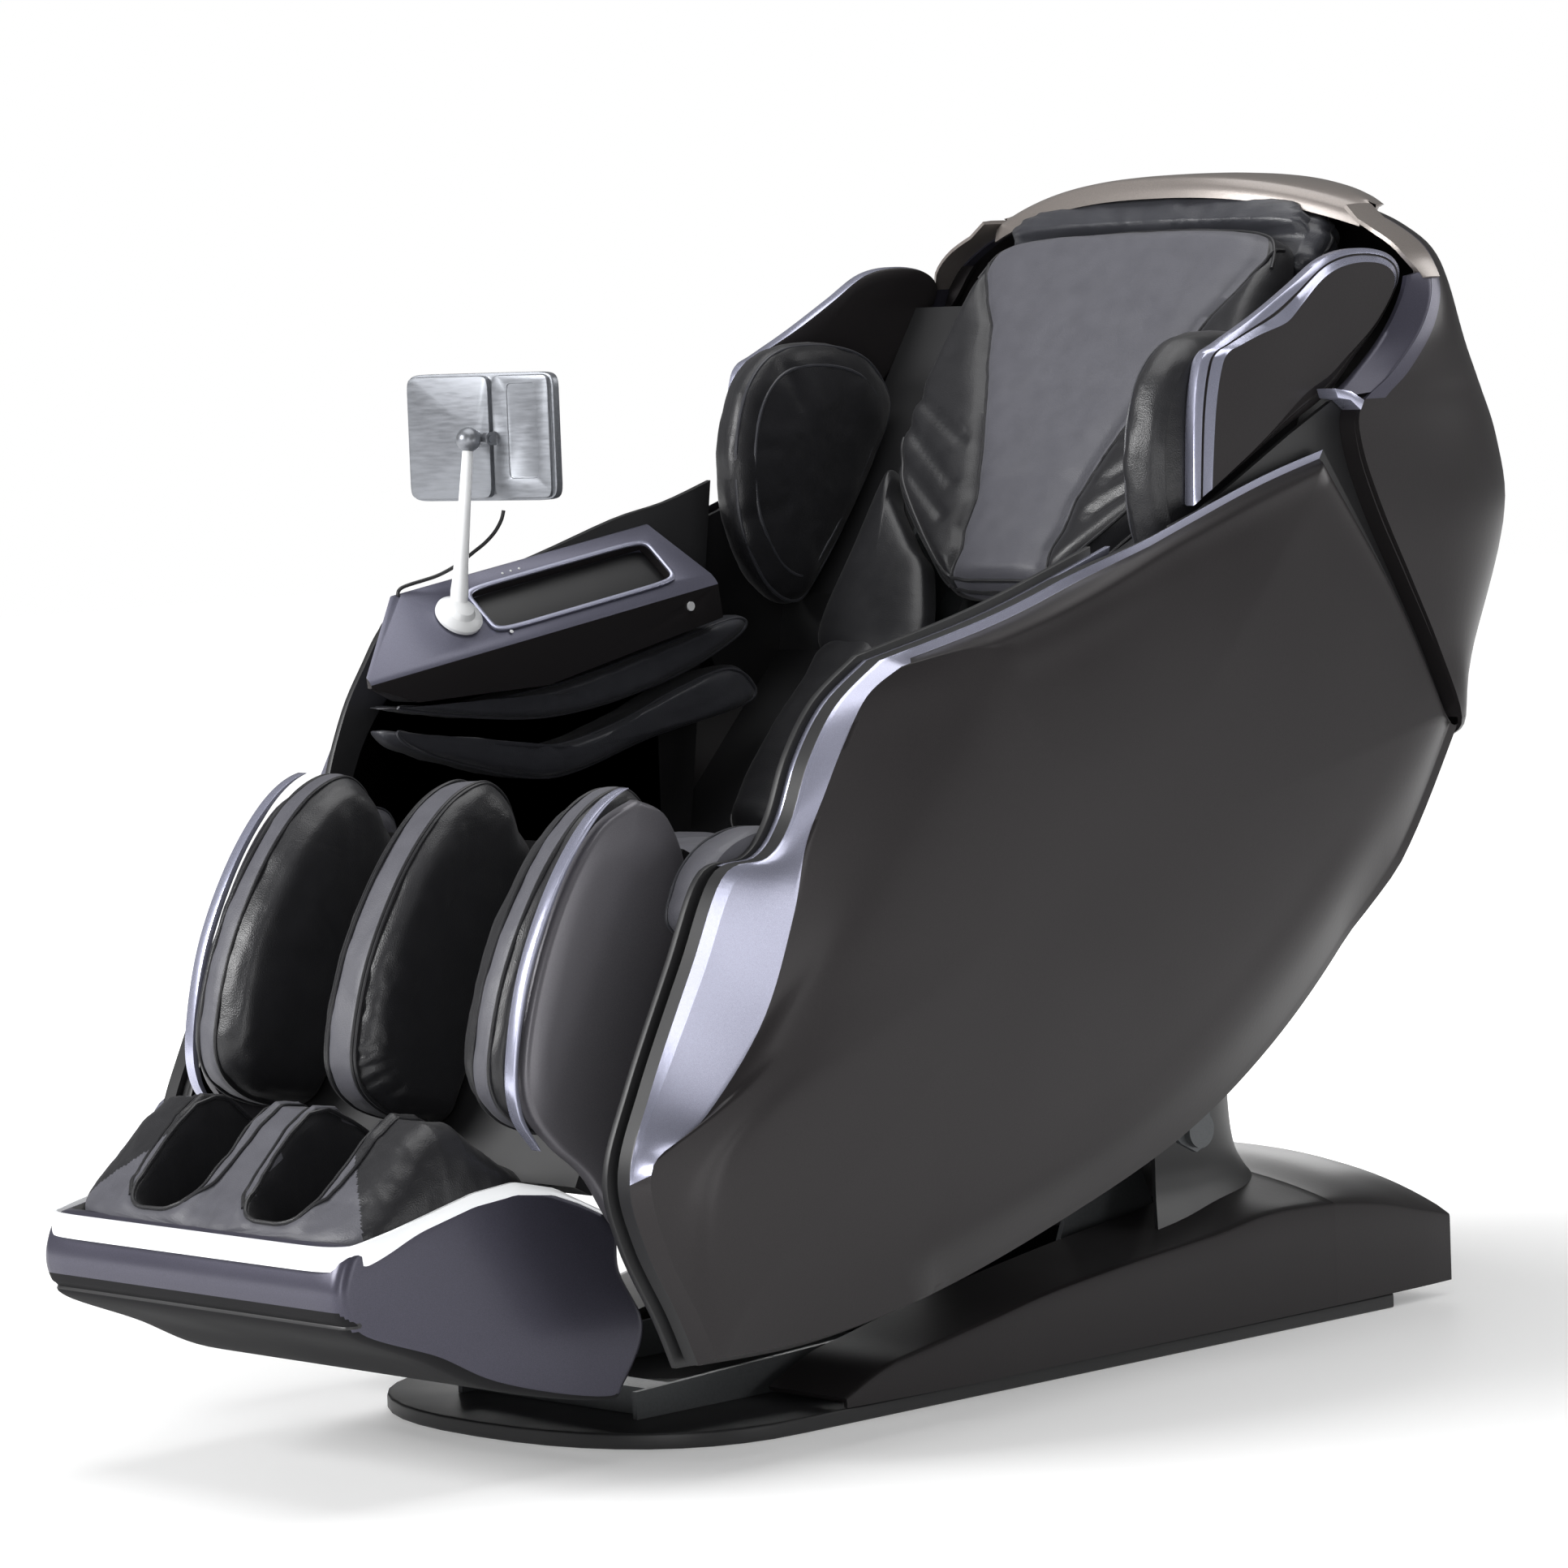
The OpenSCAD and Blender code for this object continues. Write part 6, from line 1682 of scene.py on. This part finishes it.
@dataclass
class FootRest:
    """Foot housing with its light strip and padded foot wells."""

    half: float = 226
    reach: float = 203
    middle_y: float = -608
    centre: tuple = (-640, 190)
    side_line: tuple = ((-788, 253), (-800, 243), (-810, 215), (-806, 190), (-788, 168), (-706, 134),
                        (-619, 94), (-481, 63), (-452, 75), (-424, 128), (-452, 186), (-462, 238),
                        (-540, 276), (-590, 288), (-641, 284), (-740, 262))
    strip_line: tuple = ((-788, 253), (-740, 262), (-641, 284), (-590, 288), (-540, 276), (-470, 242))
    pad_heights: tuple = ((-800, 258), (-786, 264), (-772, 271), (-750, 286), (-722, 312), (-695, 338),
                          (-668, 354), (-640, 350), (-610, 324), (-580, 304), (-540, 296))
    rim_heights: tuple = ((-810, 247), (-788, 253), (-740, 262.6), (-641, 285.6), (-590, 288), (-540, 276))
    pad_y: float = -664
    well_x: float = 86
    well_floor: float = 205
    skirt_z: float = 178
    opening_size: tuple = (0.428, 0.380, 0.260)
    opening_place: tuple = (0, -0.590, 0.302)
    sweeps: tuple = (((44, -772), (26, -750), (20, -700), (21, -640), (28, -590), (34, -552)),
                     ((128, -772), (145, -750), (152, -700), (152, -640), (148, -590), (144, -552)))

    def housing(self) -> None:
        """Builds the housing, open under the foot pad, with its front groove."""
        corner = 14.0
        line = spline([*self.side_line, self.side_line[0]], 120)
        groove = np.exp(-(((line[:, 1] - 181) / 3.2) ** 2)) * (line[:, 0] < -770)
        line = line + np.column_stack([groove * 5, groove * 0])
        rows = []
        offsets = [0, 0.6, 1.8, 3.6, 6, 9, corner]
        for t in offsets:
            by = corner - math.sqrt(max(corner**2 - (corner - t) ** 2, 0))
            rows.append(at_x(inset(line, self.centre, by), -self.half + t))
        rows += [at_x(line, x) for x in np.linspace(-self.half + 40, self.half - 40, 9)]
        rows += [r * [-1, 1, 1] for r in reversed(rows[:len(offsets)])]
        mesh = surface(rows, zone=lambda r, c: int(groove[c % len(line)] > 0.35))
        # Faces that point down take the near-black matte plastic: painted shade under the housing.
        for face in mesh.faces:
            if face.normal.z < -0.3:
                face.material_index = 2
        body = to_object(mesh, "foot_housing_moulding", 60)
        well = bmesh.new()
        bmesh.ops.create_cube(well, size=1)
        bmesh.ops.scale(well, verts=well.verts[:], vec=self.opening_size)
        bmesh.ops.translate(well, verts=well.verts[:], vec=self.opening_place)
        for face in well.faces:
            face.material_index = 1
        cutter = to_object(well, "housing_cutter", 30)
        for finish in (Finish.LAVENDER, Finish.BLACK, Finish.SHADED_UNDERSIDE):
            cutter.data.materials.append(finish.material)
            body.data.materials.append(finish.material)
        cut = body.modifiers.new("open_top", "BOOLEAN")
        cut.operation, cut.object, cut.solver = "DIFFERENCE", cutter, "EXACT"
        apply_modifiers(body)
        bpy.data.objects.remove(cutter)
        settle(body, "foot_rest", [Finish.LAVENDER, Finish.BLACK, Finish.SHADED_UNDERSIDE], ["foot_housing"])

    def plan(self, half: float, reach: float, count: int) -> Row:
        """Plan line round the front, from the rear of one side to the rear of the other.

        Args:
            half: half width.
            reach: distance from its middle to its front.
            count: how many points it has.

        Returns:
            The line's points, one per row.
        """
        a = np.linspace(math.radians(-38), math.radians(218), count)
        x, y = np.cos(a), np.sin(a)
        px = half * np.sign(x) * abs(x) ** (2 / 13)
        py = self.middle_y - reach * np.sign(y) * abs(y) ** (2 / 13)
        return np.column_stack([px, py])

    def light_strip(self) -> None:
        """Builds the white strip round the front and sides."""
        dense = self.plan(self.half, self.reach, 400)
        dense = dense[dense[:, 1] < -474]
        step = np.concatenate([[0], np.cumsum(np.linalg.norm(np.diff(dense, axis=0), axis=1))])
        at = np.linspace(0, step[-1], 150)
        path = np.column_stack([np.interp(at, step, dense[:, k]) for k in range(2)])
        ahead = np.gradient(path, axis=0)
        normal = np.column_stack([ahead[:, 1], -ahead[:, 0]])
        normal /= np.linalg.norm(normal, axis=1, keepdims=True)
        if (normal[75] @ [0, -1]) < 0:
            normal = -normal
        top = lookup(path[:, 1], self.strip_line) + 2
        taper = np.clip((np.minimum(at, at[-1] - at)) / 120, 0.25, 1)
        front = smooth((-700 - path[:, 1]) / 80)
        low = top - mix(13, 23, front) * taper
        rows = []
        for p, n, z1, z0 in zip(path, normal, top, low):
            ring = [(-3, z0), (1.2, z0), (2, z0 + 2), (2.2, (z0 + z1) / 2), (2, z1 - 2), (1.0, z1), (-3, z1)]
            rows.append([(p[0] + n[0] * o, p[1] + n[1] * o, z) for o, z in ring])
        piece(surface(rows), "foot_light_band", "foot_rest", Finish.LIGHT, replaces=["foot_light_strip"],
              sharp=50)

    def height(self, x: Row, y: Row) -> tuple[Row, Row]:
        """Height of the foot pad's top, and how far each point lies from a well's middle.

        Args:
            x: sideways places.
            y: lengthwise places.

        Returns:
            The heights, and the distances as shares of the well's size.
        """
        e = 6.0
        r = (abs(x / (self.half - 3)) ** e + abs((y - self.pad_y) / 122) ** e) ** (1 / e)
        rise = np.sqrt(np.clip(1 - np.clip((r - 0.80) / 0.20, 0, 1) ** 2.4, 0, 1))
        z = mix(lookup(y, self.rim_heights) - 2, lookup(y, self.pad_heights), rise)
        q = (abs((abs(x) - self.well_x) / 50) ** 4 + abs((y - self.pad_y + 13) / 96) ** 4) ** 0.25
        inside = 1 - smooth((q - 0.80) / 0.26)
        floor = self.well_floor + 3 + 14 * np.clip(q, 0, 1) ** 3
        swell = 5 * np.exp(-(((q - 1.16) / 0.10) ** 2))
        return mix(z + swell * rise, floor, inside), q

    def pad(self) -> None:
        """Builds the foot pad with its two black wells, their folds and pipings."""
        half, deep, e = self.half - 3, 122, 6.0
        t = np.linspace(-1, 1, 120)
        ys = deep * np.sign(t) * (1 - (1 - abs(t)) ** 1.25)
        s = np.linspace(-1, 1, 190)
        rows = []
        for y in ys:
            wide = half * max(1 - abs(y / deep) ** e, 0.0004) ** (1 / e)
            xs = wide * np.sign(s) * (1 - (1 - abs(s)) ** 1.12)
            yy = np.full_like(xs, y + self.pad_y)
            z, _ = self.height(xs, yy)
            rows.append(np.column_stack([xs, yy, z]))
        rows = np.array(rows)
        _, depth = self.height(rows[..., 0], rows[..., 1])

        def zone(row: int, column: int) -> int:
            """Grey middle, black wells and flanks."""
            x, y, _ = rows[row, column]
            return int(depth[row, column] < 1.07 or abs(x) > 138 + max(0, -712 - y) * 1.3)

        mesh = surface(rows, wrap=False, closed=False, zone=zone)
        rim = [edge for edge in mesh.edges if edge.is_boundary]
        for vert in made_corners(bmesh.ops.extrude_edge_only(mesh, edges=rim)):
            vert.co.z = self.skirt_z * MM
        bmesh.ops.holes_fill(mesh, edges=[edge for edge in mesh.edges if edge.is_boundary], sides=0)
        bmesh.ops.recalc_face_normals(mesh, faces=mesh.faces[:])
        rumpled(mesh, 1.5, 36, 30.0)
        pipes = []
        for sign in (-1, 1):
            ring = returned(squircle(53.5, 102.5, 4, 120)) + [sign * self.well_x, self.pad_y - 13]
            pipes += sewn(mesh, [at_height(ring, 300.0)], UP, 2.3, 0.8)
            sweeps = [spline([[sign * x, y] for x, y in line], 60, whole=True) for line in self.sweeps]
            pipes += sewn(mesh, [at_height(sweep, 300.0) for sweep in sweeps], UP, 1.9, 0.6)
        piece(merged(pipes), "foot_pad_piping", "foot_rest", Finish.BLACK_LEATHER)
        upholstered(mesh, "foot_pad", "foot_rest", Finish.GREY_LEATHER, Finish.BLACK_LEATHER, padding=0.7)

    def build(self) -> None:
        """Builds the foot rest."""
        self.housing()
        self.light_strip()
        self.pad()


def apply_modifiers(obj: Thing) -> None:
    """Replaces an object's mesh by the one that its modifiers give.

    Args:
        obj: the object to change.
    """
    graph = bpy.context.evaluated_depsgraph_get()
    data = bpy.data.meshes.new_from_object(obj.evaluated_get(graph))
    obj.modifiers.clear()
    obj.data = data


# ---------------------------------------------------------------- base, tablet and carried parts


@dataclass
class Base:
    """Floor plate, wedge-shaped cover and neck."""

    half: float = 275
    foot: float = 16.3
    levels: tuple = ((-196, 26, 27, -12), (-142, 50, 51, -8), (-84, 62, 64, -4), (0, 78, 81, 0),
                     (94, 94, 98, 0), (220, 108, 118, 0), (343, 119, 135, 0), (430, 130, 150, 0),
                     (520, 128, 158.5, 0), (538, 127, 160, 0), (610, 117, 162, -1), (680, 101, 154, -3),
                     (728, 90, 140, -6))
    neck: tuple = ((96, 300, 640, 232), (130, 318, 606, 214), (160, 334, 570, 198), (200, 345, 552, 188),
                   (290, 345, 548, 184))

    def section(self, s: Row, x_from: float, count: int) -> Row:
        """Line across the cover at one place, from its foot over its edge to a sideways place.

        Args:
            s: the place's y, edge height, middle height and extra width.
            x_from: where the line ends.
            count: points over the top.

        Returns:
            The line's points, one per row.
        """
        wide = self.half + s[3]
        t = np.linspace(1, x_from / wide, count)
        over = np.column_stack([wide * t, s[1] + (s[2] - s[1]) * (1 - abs(t) ** 2.4)])
        wall = np.array([[wide, self.foot], [wide, mix(self.foot, s[1], 0.5)], [wide, s[1] - 4],
                         [wide - 0.6, s[1] - 1.4]])
        over[0] = [wide - 2.6, s[1]]
        line = np.vstack([wall, over])
        return np.column_stack([line[:, 0], np.full(len(line), s[0]), line[:, 1]])

    def cover(self) -> None:
        """Builds the cover: two wedge arms, the rear dome and the neck."""
        levels = spline(self.levels, 61, whole=True)
        arms = [s for s in levels if s[0] <= 521]
        dome = [s for s in levels if s[0] >= 515]

        def across(s: Row) -> Row:
            """Line across the whole rear dome."""
            right = self.section(s, 0, 16)
            return np.vstack([right, (right * [-1, 1, 1])[-2::-1]])

        parts = both(lambda: walled([self.section(s, 151, 14) for s in arms], 5))
        parts.append(walled([across(s) for s in dome], 5))
        back = (dome[-1][0] - 0.4) * MM
        cap = bmesh.new()
        face = cap.faces.new([cap.verts.new((x * MM, back, z * MM)) for x, _, z in across(dome[-1])])
        grown = bmesh.ops.extrude_face_region(cap, geom=[face])
        bmesh.ops.translate(cap, verts=made_corners(grown), vec=(0, -0.0046, 0))
        bmesh.ops.recalc_face_normals(cap, faces=cap.faces[:])
        parts.append(cap)
        rows = []
        for z, y0, y1, w in spline(self.neck, 40, whole=True):
            line = round_back(w, y0, y1, 3, 61)
            rows.append(np.column_stack([line, np.minimum(z, 200 + (line[:, 1] - 262) * 0.298)]))
        parts.append(walled(rows, 5, lambda r, c: 1))
        moulded(merged(parts), "base_cover", "base", Finish.CHARCOAL, Finish.BLACK, sharp=40)

    def build(self) -> None:
        """Builds the base."""
        self.cover()
        piece(copied("base_pan", 2.5, 3), "base_floor_plate", "base", Finish.BLACK, replaces=["base_pan"],
              sharp=40)


@dataclass
class Tablet:
    """The tablet, its stand and its cable."""

    cable_d: float = 4
    route: tuple = ((-268, -131, 902), (-269, -134, 892), (-272, -141, 880), (-277, -151, 869),
                    (-283, -162, 860), (-290, -172, 851), (-297, -184, 843), (-303, -197, 837),
                    (-309, -211, 833), (-313, -224, 830), (-315.6, -234, 827), (-316, -238.6, 824),
                    (-316, -240, 821), (-316, -240, 818.6))

    def cable(self) -> None:
        """Builds the cable from the tablet down to its hole in the armrest."""
        path = spline(self.route, 61, whole=True)
        cord = piece(tube(path, self.cable_d / 2, 12), "tablet_cord", "seat", Finish.CABLE,
                     replaces=["tablet_cable"])

    def build(self) -> None:
        """Builds the tablet and its stand."""
        self.cable()
        piece(copied("tablet", 1.1, 3), "tablet_casing", "tablet_unit", Finish.SILVER_PLASTIC,
              replaces=["tablet"], sharp=40)
        piece(copied("tablet_stand", 0.7, 2), "tablet_post", "seat", Finish.WHITE,
              replaces=["tablet_stand"], sharp=40)


CARRIED = {
    "base_frame": Finish.FRAME_STEEL, "power_inlet": Finish.BLACK, "power_switch": Finish.BLACK,
    "wheel_left": Finish.TYRE, "wheel_right": Finish.TYRE, "tilt_actuator": Finish.BLACK,
    "tilt_rod": Finish.BRIGHT_STEEL, "seat_frame": Finish.FRAME_STEEL,
    "recline_actuator": Finish.BLACK, "recline_rod": Finish.BRIGHT_STEEL,
    "leg_actuator": Finish.BLACK, "leg_rod": Finish.BRIGHT_STEEL, "back_frame": Finish.FRAME_STEEL,
    "back_liner": Finish.BLACK, "massage_carriage": Finish.FRAME_STEEL, "kneading_arm_left": Finish.ARM_ALLOY,
    "kneading_arm_right": Finish.ARM_ALLOY, "roller_left": Finish.ROLLER, "roller_right": Finish.ROLLER,
    "calf_frame": Finish.BLACK, "foot_slide": Finish.BRIGHT_STEEL, "tablet_ball": Finish.SILVER_PLASTIC,
    "quick_key": Finish.WHITE,
}


def finish_carried() -> None:
    """Gives the carried-over nodes their finishes."""
    for name, finish in CARRIED.items():
        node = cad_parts[name]
        node.data.materials.clear()
        node.data.materials.append(finish.material)
        log.info("%s keeps its own mesh", name)


# ---------------------------------------------------------------- studio


@dataclass
class Studio:
    """Pale floor, soft light and the camera."""

    azimuth: float = 46.031
    down: float = 4.599
    roll: float = -2.173
    focal: float = 7595.7
    frame_pixels: float = 1932
    place: tuple = (4.5766, -4.4117, 1.1232)

    def camera(self) -> None:
        """Sets the camera."""
        a, e, r = (math.radians(v) for v in (self.azimuth, self.down, self.roll))
        ahead = Vector((-math.sin(a) * math.cos(e), math.cos(a) * math.cos(e), -math.sin(e)))
        right = Vector((math.cos(a), math.sin(a), 0))
        up = right.cross(ahead)
        turned_right = right * math.cos(r) + up * math.sin(r)
        turned_up = up * math.cos(r) - right * math.sin(r)
        data = bpy.data.cameras.new("camera")
        data.sensor_width = 36
        data.sensor_fit = "HORIZONTAL"
        data.lens = 36 * self.focal / self.frame_pixels
        camera = bpy.data.objects.new("camera", data)
        turn = Matrix((turned_right, turned_up, -ahead)).transposed().to_4x4()
        camera.matrix_world = Matrix.Translation(self.place) @ turn
        bpy.context.scene.collection.objects.link(camera)
        bpy.context.scene.camera = camera

    def area(self, name: str, place: tuple, aim: tuple, size: tuple, power: float) -> None:
        """Adds a soft box.

        Args:
            name: its name.
            place: where it stands.
            aim: where it points.
            size: its two sizes.
            power: its power in watts.
        """
        data = bpy.data.lights.new(name, "AREA")
        data.shape = "RECTANGLE"
        data.size, data.size_y = size
        data.energy = power
        light = bpy.data.objects.new(name, data)
        light.location = place
        light.visible_camera = False
        light.rotation_euler = (Vector(aim) - Vector(place)).to_track_quat("-Z", "Y").to_euler()
        bpy.context.scene.collection.objects.link(light)

    def world(self) -> None:
        """White behind the chair, and a dimmer sky for its reflections."""
        world = bpy.data.worlds.new("studio")
        world.use_nodes = True
        tree = world.node_tree
        background = tree.nodes["Background"]
        path = tree.nodes.new("ShaderNodeLightPath")
        share = tree.nodes.new("ShaderNodeMapRange")
        share.inputs["To Min"].default_value = 0.13
        share.inputs["To Max"].default_value = 1.0
        tree.links.new(path.outputs["Is Camera Ray"], share.inputs["Value"])
        tree.links.new(share.outputs["Result"], background.inputs["Strength"])
        background.inputs["Color"].default_value = (1, 1, 1, 1)
        bpy.context.scene.world = world

    def floor(self) -> None:
        """Lays the floor, which glows as painted light: faintly within 0.9 m of its middle, fully beyond 2.5
        m.
        """
        mesh = bmesh.new()
        bmesh.ops.create_grid(mesh, x_segments=8, y_segments=8, size=14)
        floor = to_object(mesh, "studio_floor")
        n = Nodes("StudioFloor")
        cloud = n.texture(NOISE, 2.0, Detail=2.0)
        away = n.tree.nodes.new("ShaderNodeVectorMath")
        away.operation = "LENGTH"
        n.tree.links.new(n.coords, away.inputs[0])
        n.set(Roughness=0.6, Specular_IOR_Level=0.2, Emission_Color=(1, 1, 1, 1))
        # Painted light: the floor's glow rises with distance from the chair.
        n.link(Base_Color=n.blend(cloud, (0.80, 0.80, 0.80), (0.84, 0.84, 0.84)),
               Emission_Strength=n.ramp(away.outputs["Value"], 0.9, 2.5, 0.26, 1.0))
        floor.data.materials.append(n.material)

    def build(self) -> None:
        """Sets the whole studio."""
        self.camera()
        self.world()
        self.floor()
        self.area("key", (-1.7, -4.2, 2.5), (0, -0.2, 0.5), (2.0, 1.6), 230)
        self.area("overhead", (0.0, 0.0, 3.6), (0, 0, 0.5), (3.0, 3.0), 75)
        self.area("side", (3.4, -3.9, 1.0), (0.2, -0.4, 0.5), (0.9, 2.4), 44)
        self.area("flank", (3.6, 0.45, 0.45), (0.37, -0.42, 0.45), (0.7, 1.5), 14)
        self.area("rear", (1.9, 3.4, 2.4), (0, 0.5, 0.8), (1.4, 1.8), 40)
        self.area("horizon", (-3.0, 3.3, 0.9), (0, 0.3, 0.3), (2.2, 0.9), 22)
        bpy.context.scene.view_settings.view_transform = "Standard"


def main() -> None:
    """Sets the studio, then builds the chair's pieces in order."""
    Studio().build()
    Tablet().build()
    SidePanels().build()
    Armrests().build()
    SeatCushion().build()
    LowerShell().build()
    Backrest().build()
    BackPads().build()
    LegRest().build()
    FootRest().build()
    Base().build()
    finish_carried()


logging.basicConfig(level=logging.INFO, format="%(message)s")
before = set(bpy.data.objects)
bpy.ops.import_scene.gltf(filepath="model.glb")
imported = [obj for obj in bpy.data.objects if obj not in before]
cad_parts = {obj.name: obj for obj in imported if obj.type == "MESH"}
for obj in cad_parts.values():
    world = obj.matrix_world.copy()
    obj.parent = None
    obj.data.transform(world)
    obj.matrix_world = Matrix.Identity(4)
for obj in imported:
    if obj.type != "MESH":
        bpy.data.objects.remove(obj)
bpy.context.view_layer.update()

if __name__ == "__main__":
    main()
